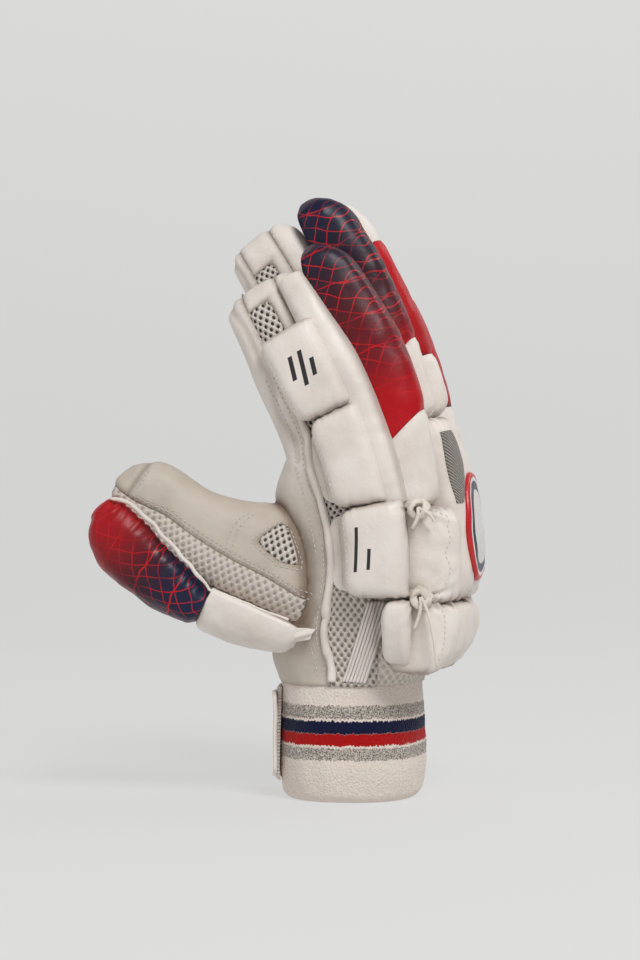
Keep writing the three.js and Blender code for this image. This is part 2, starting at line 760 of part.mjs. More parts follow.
// Padded bar along the outside of the index finger. from and to are shares of HAND_LENGTH, low
// and high are shares of BODY_DEPTH.
const SIDE_PADS = [
  { name: "index_side_pad_1", from: 0.576, to: 0.757, low: -0.465, high: -0.06 },
  { name: "index_side_pad_2", from: 0.37, to: 0.571, low: -0.41, high: -0.043 },
  { name: "index_side_pad_3", from: 0.18, to: 0.365, low: -0.375, high: -0.043 },
  { name: "index_side_end", from: 0.042, to: 0.175, low: -0.2, high: 0.06 },
];
const SIDE_OFF = -0.5; // the bar beds this far into the curve of the hand, and is cut to fit it
const sideOf = (s) =>
  Math.min(along(BODY_ROWS, "left", s / HAND_LENGTH), s > STALL_START * HAND_LENGTH ? -0.5 : 0);
const sidePad = (pad, grow) =>
  cushion({
    line: indexLine,
    from: pad.from * HAND_LENGTH - grow,
    to: pad.to * HAND_LENGTH + grow,
    low: pad.low * BODY_DEPTH - grow,
    high: pad.high * BODY_DEPTH + grow,
    left: (s) => sideOf(s) * PALM_WIDTH - SIDE_OFF - SIDE_PAD_DEPTH - grow,
    right: (s) => sideOf(s) * PALM_WIDTH - SIDE_OFF + grow,
    start: { table: PINCH, length: 0.025 * HAND_LENGTH },
    end: { table: PINCH, length: 0.025 * HAND_LENGTH },
    section: SIDE_DEE,
  });
const sideBar = joined(SIDE_PADS.map((pad) => sidePad(pad, GAP)));
for (const pad of SIDE_PADS)
  add(pad.name, without(sidePad(pad, 0), handClear, ...Object.values(pads)), WHITE);

// Thumb guard and the printed cap over its end
const guardFrom = 0.02 * THUMB_LENGTH;
const capFrom = 0.42 * THUMB_LENGTH;
// Height of the guard: at is a share of THUMB_LENGTH, high a share of GUARD_HEIGHT.
const GUARD_CROWN = [
  { at: 0, high: 0.66 },
  { at: 0.15, high: 0.88 },
  { at: 0.32, high: 1.02 },
  { at: 0.45, high: 1.04 },
];
const guard = cushion({
  line: thumbLine,
  from: guardFrom,
  to: capFrom - SEAM_GAP / 2,
  low: GAP,
  high: (s) => GUARD_HEIGHT * along(GUARD_CROWN, "high", s / THUMB_LENGTH),
  left: -THUMB_WIDTH / 2 - CAP_SIDE / 2,
  right: THUMB_WIDTH / 2 + CAP_SIDE / 2,
  start: { table: DOME, length: 0.1 * THUMB_LENGTH },
  end: { table: FLUSH, length: 0.03 * THUMB_LENGTH },
  section: dee(10, 2.6),
});
add("thumb_guard", without(guard, bodyClear, thumb(GAP)), WHITE);
// Rings of the cap: at is a share of THUMB_LENGTH, low a share of THUMB_DEPTH, high a share of
// CAP_HEIGHT, wide a share of the cap's width.
const CAP_ROWS = [
  { at: 0.42, low: -0.03, high: 0.76, wide: 0.93 },
  { at: 0.45, low: -0.06, high: 0.91, wide: 0.99 },
  { at: 0.55, low: -0.13, high: 1, wide: 1 },
  { at: 0.66, low: -0.18, high: 1.05, wide: 1 },
  { at: 0.78, low: -0.2, high: 1.08, wide: 1 },
  { at: 0.88, low: -0.19, high: 0.93, wide: 0.97 },
  { at: 0.935, low: -0.15, high: 0.68, wide: 0.9 },
  { at: 0.96, low: -0.1, high: 0.42, wide: 0.78 },
];
const capHalf = THUMB_WIDTH / 2 + CAP_SIDE;
const cap = loft(
  thumbLine,
  0,
  CAP_ROWS.map((row) => ({
    at: row.at * THUMB_LENGTH,
    low: row.low * THUMB_DEPTH,
    high: row.high * CAP_HEIGHT,
    left: -row.wide * capHalf,
    right: row.wide * capHalf,
  })),
  oval(14, 2.8),
);
add("thumb_cap", without(cap, thumb(GAP), handClear), GLOSS);

// Trim on the upper centre pad: a raised oval badge, and a patch on its corner
const padTop = CENTRE_START * HAND_LENGTH - SEAM_GAP;
const padFoot = ROW_SEAM * HAND_LENGTH + SEAM_GAP / 2;
const centreSkin = (grow) => backPad("centre", padFoot, padTop, grow);
// A prism whose outline, as [along, across] in millimetres, lies across a line's padded side.
const punch = (line, outline, from, to) =>
  prism(
    outline.map(([s, w]) => line.place(s, from, w)),
    outline.map(([s, w]) => line.place(s, to, w)),
  );
const badgeAt = 0.308 * HAND_LENGTH;
const ellipse = Array.from({ length: 18 }, (_, i) => {
  const a = (i / 18) * 2 * Math.PI;
  return [badgeAt + (BADGE_HEIGHT / 2) * Math.cos(a), (BADGE_WIDTH / 2) * Math.sin(a)];
});
const badge = centreSkin(GAP + BADGE_THICKNESS).subtract(centreSkin(GAP));
add("back_badge", badge.intersect(punch(handLine, ellipse, 0.6 * PAD_HEIGHT, 2 * PAD_HEIGHT)), WHITE);
// The patch's outline: at is a share of HAND_LENGTH, wide a share of the finger pitch.
const PATCH = [
  { at: 0.365, wide: -0.84 },
  { at: 0.365, wide: -0.7 },
  { at: 0.4, wide: -0.5 },
  { at: 0.45, wide: -0.42 },
  { at: 0.492, wide: -0.55 },
  { at: 0.492, wide: -0.84 },
];
const patch = PATCH.map(({ at, wide }) => [at * HAND_LENGTH, wide * PITCH]);
const patchSkin = centreSkin(GAP + TRIM_THICKNESS).subtract(centreSkin(GAP));
add(
  "back_trim",
  without(
    patchSkin.intersect(punch(handLine, patch, 0.6 * PAD_HEIGHT, 2 * PAD_HEIGHT)),
    centreSkin(GAP + BADGE_THICKNESS).intersect(
      punch(
        handLine,
        ellipse.map(([s, w]) => [badgeAt + (s - badgeAt) * 1.03, w * 1.05]),
        0,
        2 * PAD_HEIGHT,
      ),
    ),
  ),
  GREY,
);

// Turned edge of the palm and the ribbed tape, both on the index side
const skin = (grow) => joined([body(grow), stall("index", grow)]);
const pipingHalf = PIPING_WIDTH / 2 / BODY_DEPTH;
const indexLane = { ...lanes[0], right: -1.6 * PITCH };
const pipingBand = cut(
  indexLane,
  (row) => row.palm - pipingHalf,
  (row) => row.palm + pipingHalf,
);
const pipingTop = 0.74 * HAND_LENGTH;
add(
  "palm_piping",
  without(
    skin(GAP + PIPING_HEIGHT).intersect(pipingBand),
    skin(GAP),
    thumb(GAP),
    beyond(indexLine, laneOf("index"), pipingTop),
    sideBar,
  ).intersect(seam),
  WHITE,
);
// The tape's palm side: edge is a share of BODY_DEPTH.
const TAPE_EDGE = [
  { at: 0, edge: -0.39 },
  { at: 0.172, edge: -0.27 },
];
const tapeEdge = (row) => along(TAPE_EDGE, "edge", row.at);
const tapeTop = SIDE_PADS[3].to * HAND_LENGTH - SEAM_GAP;
const tapeBand = cut(indexLane, tapeEdge, (row) => tapeEdge(row) + TAPE_WIDTH / BODY_DEPTH);
add(
  "side_tape",
  without(
    skin(GAP + TAPE_THICKNESS).intersect(tapeBand),
    skin(GAP),
    beyond(indexLine, 0, tapeTop),
    sideBar,
  ).intersect(seam),
  TAPE,
);

// Knots of the laces that draw the rows of pads together
const KNOTS = [
  { name: "tie_upper", at: 0.343, up: 0.14 },
  { name: "tie_lower", at: 0.18, up: 0.12 },
];
for (const { name, at, up } of KNOTS) {
  const s = at * HAND_LENGTH;
  const rise = up * BODY_DEPTH;
  const against = -2 * PITCH + ROLL_SPACE / 2 - GAP;
  const row = (share, size) => ({
    at: s + share * KNOT,
    low: rise - size * KNOT * 0.8,
    high: rise + size * KNOT * 0.8,
    left: against - size * KNOT * 0.75,
    right: against,
  });
  const rows = [row(-0.5, 0.4), row(-0.3, 0.85), row(0.25, 0.9), row(0.5, 0.45)];
  const knot = loft(handLine, 0, rows, oval(8, 2));
  add(name, without(knot, sideBar, handClear), WHITE);
}

// Knitted cuff. How far it stands out: at is a share of CUFF_HEIGHT, reach of CUFF_DEPTH.
const CUFF_FORM = [
  { at: 0, reach: -0.035 },
  { at: 0.07, reach: 0 },
  { at: 0.25, reach: 0.018 },
  { at: 1, reach: 0 },
];
function tube(outer, inner, z0, z1, sides = 24) {
  const row = (at, grow) => {
    const reach = along(CUFF_FORM, "reach", at / CUFF_HEIGHT) * CUFF_DEPTH + grow;
    return {
      at,
      low: -CUFF_DEPTH / 2 - reach,
      high: CUFF_DEPTH / 2 + reach,
      left: -CUFF_WIDTH / 2 - reach,
      right: CUFF_WIDTH / 2 + reach,
    };
  };
  const rings = (grow, a, b) => {
    const inside = CUFF_FORM.map((form) => form.at * CUFF_HEIGHT).filter((z) => z > a && z < b);
    return loft(upright, 0, [a, ...inside, b].map((z) => row(z, grow)), oval(sides, 2.3));
  };
  return without(rings(outer, z0, z1), rings(inner, z0 - CUFF_WALL, z1 + CUFF_WALL));
}
add("wrist_cuff", tube(0, -CUFF_WALL, 0, CUFF_HEIGHT), KNIT);
// Strap across the inside of the wrist, closed by a tab
const strapFoot = (CUFF_HEIGHT - STRAP_WIDTH) * 0.75;
const strapTop = strapFoot + STRAP_WIDTH;
const strapRing = tube(GAP + STRAP_THICKNESS, GAP, 0, CUFF_HEIGHT);
const strapClear = tube(2 * GAP + STRAP_THICKNESS, 0, 0, CUFF_HEIGHT);
const strapBox = block(
  -FAR,
  -0.15 * CUFF_DEPTH,
  -0.27 * CUFF_WIDTH,
  FAR,
  strapFoot,
  strapTop,
);
add("wrist_strap", strapRing.intersect(strapBox), WHITE);
// The tab's outer face seen from above: deep is a share of CUFF_DEPTH, wide a share of CUFF_WIDTH.
const TAB_FACE = [
  { deep: -0.49, wide: 0.14 },
  { deep: -0.5, wide: 0 },
  { deep: -0.495, wide: -0.14 },
  { deep: -0.47, wide: -0.27 },
  { deep: -0.425, wide: -0.37 },
];
const tabOff = STRAP_THICKNESS + 2 * GAP;
const tabOuter = TAB_FACE.map(
  ({ deep, wide }, i) =>
    new THREE.Vector2(
      deep * CUFF_DEPTH - tabOff - STRAP_THICKNESS - (i > 2 ? TAB_LIFT * (i - 2) * 0.35 : 0),
      wide * CUFF_WIDTH,
    ),
);
const tabInner = tabOuter.map((p) => new THREE.Vector2(p.x + STRAP_THICKNESS, p.y)).reverse();
const tabShape = new THREE.Shape([...tabOuter, ...tabInner]);
const tabHeight = 0.9 * STRAP_WIDTH;
const tab = new THREE.ExtrudeGeometry(tabShape, { depth: tabHeight, bevelEnabled: false });
tab.translate(0, 0, strapFoot + (STRAP_WIDTH - tabHeight) / 2);
add("strap_tab", without(solidOf(tab), strapClear), WHITE);

const box = new THREE.Box3().setFromObject(hand);
const centre = box.getCenter(new THREE.Vector3());
hand.position.set(-centre.x, -centre.y, -box.min.z);
const glove = new THREE.Group();
glove.add(hand);
export default glove;
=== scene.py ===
"""Dresses the solids of a cricket batting glove: leather, mesh, padding, print, stitches and knit.

Lengths are millimetres in the frame in which the solids were drawn, until piece() turns them into
metres: the cuff's axis is at x = 0, y = 0, the back of the hand faces +X, the palm -X, and the
index finger is on the -Y side.
"""

import math

import bmesh
import bpy
import numpy as np
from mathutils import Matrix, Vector
from mathutils.bvhtree import BVHTree


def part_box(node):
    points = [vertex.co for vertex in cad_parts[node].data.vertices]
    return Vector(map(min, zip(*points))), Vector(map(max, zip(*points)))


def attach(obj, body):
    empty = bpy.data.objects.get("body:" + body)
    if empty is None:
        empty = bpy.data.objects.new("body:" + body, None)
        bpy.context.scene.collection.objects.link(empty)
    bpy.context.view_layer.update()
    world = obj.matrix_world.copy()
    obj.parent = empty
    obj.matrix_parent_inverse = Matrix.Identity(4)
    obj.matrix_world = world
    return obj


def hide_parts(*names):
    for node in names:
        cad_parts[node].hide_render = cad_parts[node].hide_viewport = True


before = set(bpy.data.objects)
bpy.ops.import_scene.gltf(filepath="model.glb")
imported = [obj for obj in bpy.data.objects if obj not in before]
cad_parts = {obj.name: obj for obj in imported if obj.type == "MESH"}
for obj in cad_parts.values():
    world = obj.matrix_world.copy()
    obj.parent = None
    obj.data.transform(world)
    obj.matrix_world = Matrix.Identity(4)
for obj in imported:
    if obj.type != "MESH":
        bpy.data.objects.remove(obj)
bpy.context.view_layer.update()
MM = 0.001
cuff_low, cuff_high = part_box("wrist_cuff")
ORIGIN = np.array([(cuff_low[0] + cuff_high[0]) / 2, (cuff_low[1] + cuff_high[1]) / 2, 0.0])

# Named sizes, as in the source
HAND_LENGTH = 238
BODY_DEPTH = 70
STALL_WIDTH = 23
STALL_DEPTH = 45
FINGER_SPACE = 1
GAP = 0.3
BACK_REACH = 31.5
ROLL_HEIGHT = 25
ROLL_SPACE = 0.6
PAD_HEIGHT = 27
SIDE_PAD_DEPTH = 14
SEAM_GAP = 1.4
THUMB_LENGTH = 117
THUMB_DEPTH = 58
THUMB_WIDTH = 32
THUMB_TURN = 12
GUARD_HEIGHT = 17
CAP_HEIGHT = 19
CAP_SIDE = 3
CUFF_HEIGHT = 55
CUFF_DEPTH = 65
CUFF_WIDTH = 76
CUFF_WALL = 3
STRAP_THICKNESS = 1.8
STRAP_WIDTH = 44
TAB_LIFT = 3
PITCH = STALL_WIDTH + FINGER_SPACE
PALM_WIDTH = 4 * PITCH - FINGER_SPACE
ROLL_WIDTH = PITCH - ROLL_SPACE
LINE_DROP = 2
LEATHER = 1.6
VOXEL = 1.45
# Powers of the oval sections: 2 is an ellipse, and more is squarer
HAND_POWER = 2.8
THUMB_POWER = 2.6
CUFF_POWER = 2.3

# Columns: share of the line's length, lean in degrees
INDEX_LINE = [
    (0, -3), (0.172, -1), (0.26, 3), (0.336, 8), (0.403, 12),
    (0.466, 17), (0.567, 25), (0.676, 28), (0.866, 29), (1.1, 29),
]
FINGER_LINE = [
    (0, -3), (0.172, -1), (0.26, 3), (0.336, 8), (0.403, 12), (0.466, 16),
    (0.567, 19.5), (0.676, 22), (0.786, 26), (0.891, 31), (1, 36), (1.1, 36),
]
THUMB_LINE = [(0, 68), (0.35, 66), (0.52, 58), (0.69, 50), (0.82, 44), (1.1, 44)]
# Columns: at, low, high, left, right
BODY_ROWS = [
    (-0.05, -0.953, 0.03, -0.4, 0.4),
    (0.0, -0.953, 0.03, -0.4, 0.4),
    (0.046, -0.99, 0.05, -0.415, 0.415),
    (0.092, -0.985, 0, -0.442, 0.432),
    (0.189, -0.957, 0, -0.484, 0.463),
    (0.357, -0.93, -0.006, -0.497, 0.48),
    (0.441, -0.9, -0.012, -0.487, 0.475),
    (0.504, -0.79, -0.03, -0.46, 0.45),
    (0.538, -0.66, -0.07, -0.41, 0.4),
    (0.55, -0.54, -0.14, -0.34, 0.33),
]
# Columns: run, low, high, wide
STALL_ROWS = [
    (0, -1, -0.05, 0.92),
    (0.12, -1.06, 0, 1),
    (0.35, -1.03, 0, 1),
    (0.6, -1.02, 0, 1),
    (0.85, -0.96, 0, 0.99),
    (0.955, -0.94, -0.03, 0.93),
    (1, -0.84, -0.13, 0.72),
]
PALM_EDGE = [
    (-0.04, -0.486), (0.02, -0.49), (0.1, -0.545), (0.172, -0.52), (0.26, -0.486),
    (0.403, -0.505), (0.466, -0.514), (0.567, -0.46), (1.1, -0.436),
]
BACK_EDGE = -0.186
WRIST_MESH_TOP = 0.094
STALL_START = 0.399
# Columns: lane, end, rollEnd, deep
FINGERS = {
    "index": (-1.5, 0.866, 0.881, 1),
    "middle": (-0.5, 0.982, 0.98, 0.93),
    "ring": (0.5, 0.978, 0.981, 0.93),
    "little": (1.5, 0.861, 0.87, 0.97),
}
# Columns: at, low, high, wide
THUMB_ROWS = [
    (0.02, -1, 0, 0.96),
    (0.17, -0.96, 0, 1),
    (0.34, -0.87, 0, 1),
    (0.51, -0.78, 0, 1),
    (0.68, -0.7, 0, 0.98),
    (0.81, -0.67, -0.02, 0.94),
    (0.91, -0.62, -0.05, 0.86),
    (0.97, -0.54, -0.09, 0.72),
    (1, -0.44, -0.17, 0.46),
]
THUMB_EDGE = [
    (-0.1, -0.24), (0, -0.24), (0.265, -0.31), (0.52, -0.33), (0.74, -0.32), (0.92, -0.2), (1.1, -0.16),
]
THUMB_UNDER = -0.04
VENT = [
    (0.336, -0.54), (0.312, -0.625), (0.27, -0.755), (0.24, -0.76),
    (0.15, -0.552), (0.138, -0.5), (0.21, -0.46),
]


def table(rows, column, at):
    """A smooth curve through a column of a table, which never overshoots its rows."""
    x = np.array([row[0] for row in rows], float)
    y = np.array([row[column] for row in rows], float)
    step = np.diff(x)
    rise = np.diff(y) / step
    slope = np.zeros_like(y)
    slope[0], slope[-1] = rise[0], rise[-1]
    same = rise[:-1] * rise[1:] > 0
    total = np.where(same, rise[:-1] + rise[1:], 1)
    slope[1:-1] = np.where(same, 2 * rise[:-1] * rise[1:] / total, 0)
    at = np.clip(at, x[0], x[-1])
    i = np.clip(np.searchsorted(x, at) - 1, 0, len(x) - 2)
    u = (at - x[i]) / step[i]
    a = (1 + 2 * u) * (1 - u) ** 2 * y[i] + u**2 * (3 - 2 * u) * y[i + 1]
    return a + step[i] * (u * (1 - u) ** 2 * slope[i] - u**2 * (1 - u) * slope[i + 1])


def bell(x):
    return np.exp(-np.square(x))


class Line:
    """A bent line in an upright plane, as in the source."""

    def __init__(self, start, out, back, rows, length):
        self.start = np.array(start, float)
        self.out = np.array(out, float)
        self.back = back
        self.length = length
        self.across = np.cross((0, 0, 1), self.out) * -back
        self.s = np.linspace(-0.15, 1.25, 421) * length
        share = self.s / length
        self.leans = np.radians(np.interp(share, [r[0] for r in rows], [r[1] for r in rows]))
        middle = (self.leans[1:] + self.leans[:-1]) / 2
        step = self.s[1] - self.s[0]
        self.level = np.concatenate([[0], np.cumsum(np.sin(middle)) * step])
        self.up = np.concatenate([[0], np.cumsum(np.cos(middle)) * step])
        self.level -= np.interp(0, self.s, self.level)
        self.up -= np.interp(0, self.s, self.up)

    def at(self, s):
        return [np.interp(s, self.s, x) for x in (self.level, self.up, self.leans)]

    def place(self, s, t, w):
        s, t, w = np.broadcast_arrays(s, t, w)
        level, up, lean = self.at(s)
        level = level - t * np.cos(lean) * self.back
        up = up + t * np.sin(lean) * self.back
        flat = level[..., None] * self.out + w[..., None] * self.across
        return self.start + flat + up[..., None] * np.array([0, 0, 1.0])

    def tangent(self, s):
        lean = self.at(s)[2]
        return np.sin(lean) * self.out + np.cos(lean) * np.array([0, 0, 1.0])

    def foot(self, points):
        """s, t and w of points."""
        d = points - self.start
        x, z = d @ self.out, d[:, 2]
        near = slice(None, None, 4)
        far = (x[:, None] - self.level[near]) ** 2 + (z[:, None] - self.up[near]) ** 2
        s = self.s[near][far.argmin(1)]
        for _ in range(4):
            level, up, lean = self.at(s)
            s = s + (x - level) * np.sin(lean) + (z - up) * np.cos(lean)
        level, up, lean = self.at(s)
        t = ((x - level) * -np.cos(lean) + (z - up) * np.sin(lean)) * self.back
        return s, t, d @ self.across


hand_start = (BACK_REACH, 0, CUFF_HEIGHT - LINE_DROP)
index_line = Line(hand_start, (-1, 0, 0), 1, INDEX_LINE, HAND_LENGTH)
hand_line = Line(hand_start, (-1, 0, 0), 1, FINGER_LINE, HAND_LENGTH)
turn = math.radians(THUMB_TURN)
thumb_start = (
    BACK_REACH - 0.68 * BODY_DEPTH,
    -0.316 * PALM_WIDTH,
    CUFF_HEIGHT + 0.0925 * HAND_LENGTH,
)
thumb_line = Line(thumb_start, (-math.cos(turn), -math.sin(turn), 0), -1, THUMB_LINE, THUMB_LENGTH)


def line_of(name):
    return index_line if name == "index" else hand_line


# Sections, as points (up, across) from 0 to 1
def power(x, n):
    return np.sign(x) * np.abs(x) ** (2 / n)


def oval(count, n):
    a = (np.arange(count) + 0.5) / count * 2 * np.pi
    return np.stack([0.5 + 0.5 * power(np.cos(a), n), 0.5 + 0.5 * power(np.sin(a), n)], 1)


def dee(count, n, side=False):
    """Lies on its flat side, which is low, or on the right."""
    a = np.linspace(-0.5, 0.5, count + 1) * np.pi
    arch = np.stack([np.abs(np.cos(a)) ** (2 / n), 0.5 + 0.5 * power(np.sin(a), n)], 1)
    flat = np.stack([np.zeros(7), 1 - np.arange(1, 8) / 8], 1)
    both = np.concatenate([arch, flat])
    return np.stack([both[:, 1], 1 - both[:, 0]], 1) if side else both


def mesh_of(name, points, faces):
    mesh = bpy.data.meshes.new(name)
    mesh.from_pydata(np.asarray(points).tolist(), [], faces)
    return mesh


def linked(name, data):
    """A new object in the scene."""
    thing = bpy.data.objects.new(name, data)
    bpy.context.scene.collection.objects.link(thing)
    return thing


class Form:
    """A mesh being made: points, faces, and lay, each point's place (s, t, w) along its line."""

    def __init__(self, points, faces, lay):
        self.points = np.asarray(points, float)
        self.faces = faces
        self.lay = np.asarray(lay, float)
        self.shade = None

    def __add__(self, other):
        faces = self.faces + [tuple(i + len(self.points) for i in f) for f in other.faces]
        points = np.concatenate([self.points, other.points])
        return Form(points, faces, np.concatenate([self.lay, other.lay]))

    def normals(self):
        mesh = mesh_of("scratch", self.points, self.faces)
        found = np.empty(len(self.points) * 3)
        mesh.vertex_normals.foreach_get("vector", found)
        bpy.data.meshes.remove(mesh)
        return found.reshape(-1, 3)

    def push(self, amount):
        """Moves each point out along its normal."""
        self.points = self.points + self.normals() * np.asarray(amount)[:, None]
        return self


def loft(line, side, at, low, high, left, right, section, bulge=(1, 1), steps=4):
    """A closed form through rings along a line, with domed ends that stand bulge beyond it."""
    up, over = section.T
    s, left, right = at[:, None], left[:, None], right[:, None]
    w = left * (1 - over) + right * over
    low = low(s, w) if callable(low) else low[:, None]
    high = high(s, w) if callable(high) else high[:, None]
    t = low * (1 - up) + high * up
    s, t, w = np.broadcast_arrays(s, t, w + side)
    lay = np.stack([s, t, w], -1)
    rings = list(lay)
    for front, out in ((False, -bulge[0]), (True, bulge[1])):
        ring = rings[-1] if front else rings[0]
        middle = ring.mean(0)
        for k in range(1, steps + 1):
            a = k / (steps + 0.6) * math.pi / 2
            more = middle + (ring - middle) * math.cos(a)
            more[:, 0] += out * math.sin(a)
            rings.insert(len(rings) if front else 0, more)
    n = len(section)
    count = len(rings)
    ends = [rings[0].mean(0), rings[-1].mean(0)]
    lay = np.concatenate(rings + [np.array(ends)])
    faces = []
    for r in range(count - 1):
        for i in range(n):
            j = (i + 1) % n
            faces.append((r * n + i, r * n + j, r * n + n + j, r * n + n + i))
    for i in range(n):
        j = (i + 1) % n
        faces.append((j, i, count * n))
        faces.append(((count - 1) * n + i, (count - 1) * n + j, count * n + 1))
    return Form(line.place(*lay.T), faces, lay)


def waves(points, size, seed):
    """A smooth random field, made of waves about as long as size, at points."""
    count = 14
    rng = np.random.default_rng(seed)
    aim = rng.normal(size=(count, 3))
    aim /= np.linalg.norm(aim, axis=1)[:, None]
    pace = 2 * np.pi / size / rng.uniform(0.75, 1.5, count)
    shift = rng.uniform(0, 2 * np.pi, count)
    return np.sin(points @ (aim * pace[:, None]).T + shift).sum(1) / math.sqrt(count)


def body_ring(s):
    share = s / HAND_LENGTH
    low, high = [table(BODY_ROWS, c, share) * BODY_DEPTH for c in (1, 2)]
    left, right = [table(BODY_ROWS, c, share) * PALM_WIDTH for c in (3, 4)]
    return low, high, left, right


def stall_ring(name, s):
    _, end, _, deep = FINGERS[name]
    start = STALL_START * HAND_LENGTH
    run = (s - start) / (end * HAND_LENGTH - start)
    low = table(STALL_ROWS, 1, run) * STALL_DEPTH * (1 + (deep - 1) * np.clip(run, 0, 1))
    high = table(STALL_ROWS, 2, run) * STALL_DEPTH
    wide = table(STALL_ROWS, 3, run) * STALL_WIDTH / 2
    return low, high, -wide, wide


def thumb_ring(s):
    share = s / THUMB_LENGTH
    low, high = [table(THUMB_ROWS, c, share) * THUMB_DEPTH for c in (1, 2)]
    wide = table(THUMB_ROWS, 3, share) * THUMB_WIDTH / 2
    return low, high, -wide, wide


def off_ring(ring, t, w, n):
    """How far a place is outside a ring, about, in millimetres."""
    low, high, left, right = ring
    up = (2 * t - low - high) / (high - low)
    over = (2 * w - left - right) / (right - left)
    reach = (np.abs(up) ** n + np.abs(over) ** n) ** (1 / n)
    return (reach - 1) * np.minimum(high - low, right - left) / 2


def bow(x, low, high, most):
    """What is left of an oval section's half height at x between its two ends."""
    off = np.clip(np.abs((2 * x - low - high) / (high - low)), 0, most)
    return (1 - off**HAND_POWER) ** (1 / HAND_POWER)


def skin_height(s, w):
    """Height of the back of the hand above its line."""
    low, high, left, right = body_ring(s)
    return (low + high) / 2 + (high - low) / 2 * bow(w, left, right, 0.999)


def neighbours(points, edges):
    """The sum of the points that each point shares an edge with."""
    total = np.zeros_like(points)
    np.add.at(total, edges[:, 0], points[edges[:, 1]])
    np.add.at(total, edges[:, 1], points[edges[:, 0]])
    return total


def soft_skin():
    """One closed skin of hand, fingers and thumb, remeshed evenly."""
    at = np.linspace(-0.045, 0.55, 60) * HAND_LENGTH
    form = loft(hand_line, 0, at, *body_ring(at), oval(96, HAND_POWER), (0, 0.5))
    for name, (lane, end, _, _) in FINGERS.items():
        at = np.linspace(STALL_START, end, 60) * HAND_LENGTH
        ring = stall_ring(name, at)
        form += loft(line_of(name), lane * PITCH, at, *ring, oval(64, HAND_POWER), (0, 2.5), 6)
    at = np.linspace(0.02, 1, 60) * THUMB_LENGTH
    form += loft(thumb_line, 0, at, *thumb_ring(at), oval(72, THUMB_POWER), (0, 2), 6)
    thing = linked("scratch", mesh_of("scratch", form.points, form.faces))
    remesh = thing.modifiers.new("even", "REMESH")
    remesh.mode = "VOXEL"
    remesh.voxel_size = VOXEL
    depsgraph = bpy.context.evaluated_depsgraph_get()
    even = bpy.data.meshes.new_from_object(thing.evaluated_get(depsgraph))
    bpy.data.objects.remove(thing)
    points = np.empty(len(even.vertices) * 3)
    even.vertices.foreach_get("co", points)
    points = points.reshape(-1, 3)
    edges = np.empty(len(even.edges) * 2, int)
    even.edges.foreach_get("vertices", edges)
    edges = edges.reshape(-1, 2)
    faces = [tuple(f.vertices) for f in even.polygons]
    bpy.data.meshes.remove(even)
    count = np.bincount(edges.ravel(), minlength=len(points))[:, None]
    # Evens out the steps, and pushes back out what that shrinks
    for pull in (0.5, -0.52) * 5 + (0.5,) * 2:
        points = points + pull * (neighbours(points, edges) / count - points)
    return points, faces


def lanes_of(points):
    return np.clip(np.floor(points[:, 1] / PITCH).astype(int) + 2, 0, 3)


def hand_lay(points):
    s, t, w = hand_line.foot(points)
    one = lanes_of(points) == 0
    s[one], t[one], w[one] = index_line.foot(points[one])
    return np.stack([s, t, w], 1)


def palm_edge(s):
    return table(PALM_EDGE, 1, s / HAND_LENGTH) * BODY_DEPTH


def thumb_edge(s):
    return table(THUMB_EDGE, 1, s / THUMB_LENGTH) * THUMB_DEPTH


# Fields: each is 0 along a seam
def palm_field(points):
    s, t, _ = hand_lay(points).T
    return t - palm_edge(s)


def back_field(points):
    return hand_lay(points)[:, 1] - BACK_EDGE * BODY_DEPTH


def wrist_field(points):
    return hand_line.foot(points)[0] - WRIST_MESH_TOP * HAND_LENGTH


def thumb_field(points):
    s, t, w = hand_line.foot(points)
    hand = off_ring(body_ring(s), t, w, HAND_POWER)
    s, t, w = thumb_line.foot(points)
    own = off_ring(thumb_ring(s), t, w, THUMB_POWER) + 40 * np.clip(-s / 20, 0, 1)
    return np.clip(hand, -5, 60) - np.clip(own, -5, 60) + np.minimum(0, (s + 4) * 3)


def thumb_edge_field(points):
    s, t, _ = thumb_line.foot(points)
    return t - thumb_edge(s)


def thumb_under_field(points):
    return thumb_line.foot(points)[1] - THUMB_UNDER * THUMB_DEPTH


def thumb_tip_seam(t):
    """How far along the slanted seam across the thumb's tip lies."""
    return THUMB_LENGTH * (0.925 + 0.045 * np.clip((-9.5 - t) / 20.5, -0.5, 1.5))


def thumb_tip_field(points):
    s, t, _ = thumb_line.foot(points)
    return s - thumb_tip_seam(t)


def vent_field(points):
    """Distance from the outline of the thumb's window, less than 0 inside."""
    s, t, w = thumb_line.foot(points)
    ring = np.array(VENT) * (THUMB_LENGTH, THUMB_DEPTH)
    p = np.stack([s, t], 1)
    away = np.full(len(p), 1e9)
    inside = np.zeros(len(p), bool)
    for a, b in zip(ring, np.roll(ring, -1, 0)):
        along = b - a
        share = np.clip((p - a) @ along / (along @ along), 0, 1)
        away = np.minimum(away, np.linalg.norm(p - a - share[:, None] * along, axis=1))
        crosses = (a[1] > p[:, 1]) != (b[1] > p[:, 1])
        rise = np.where(b[1] == a[1], 1e-9, b[1] - a[1])
        inside ^= crosses & (p[:, 0] < (b[0] - a[0]) * (p[:, 1] - a[1]) / rise + a[0])
    return np.where(w > 2, np.where(inside, -away, away), 50)


def points_of(bm):
    return np.array([v.co for v in bm.verts])


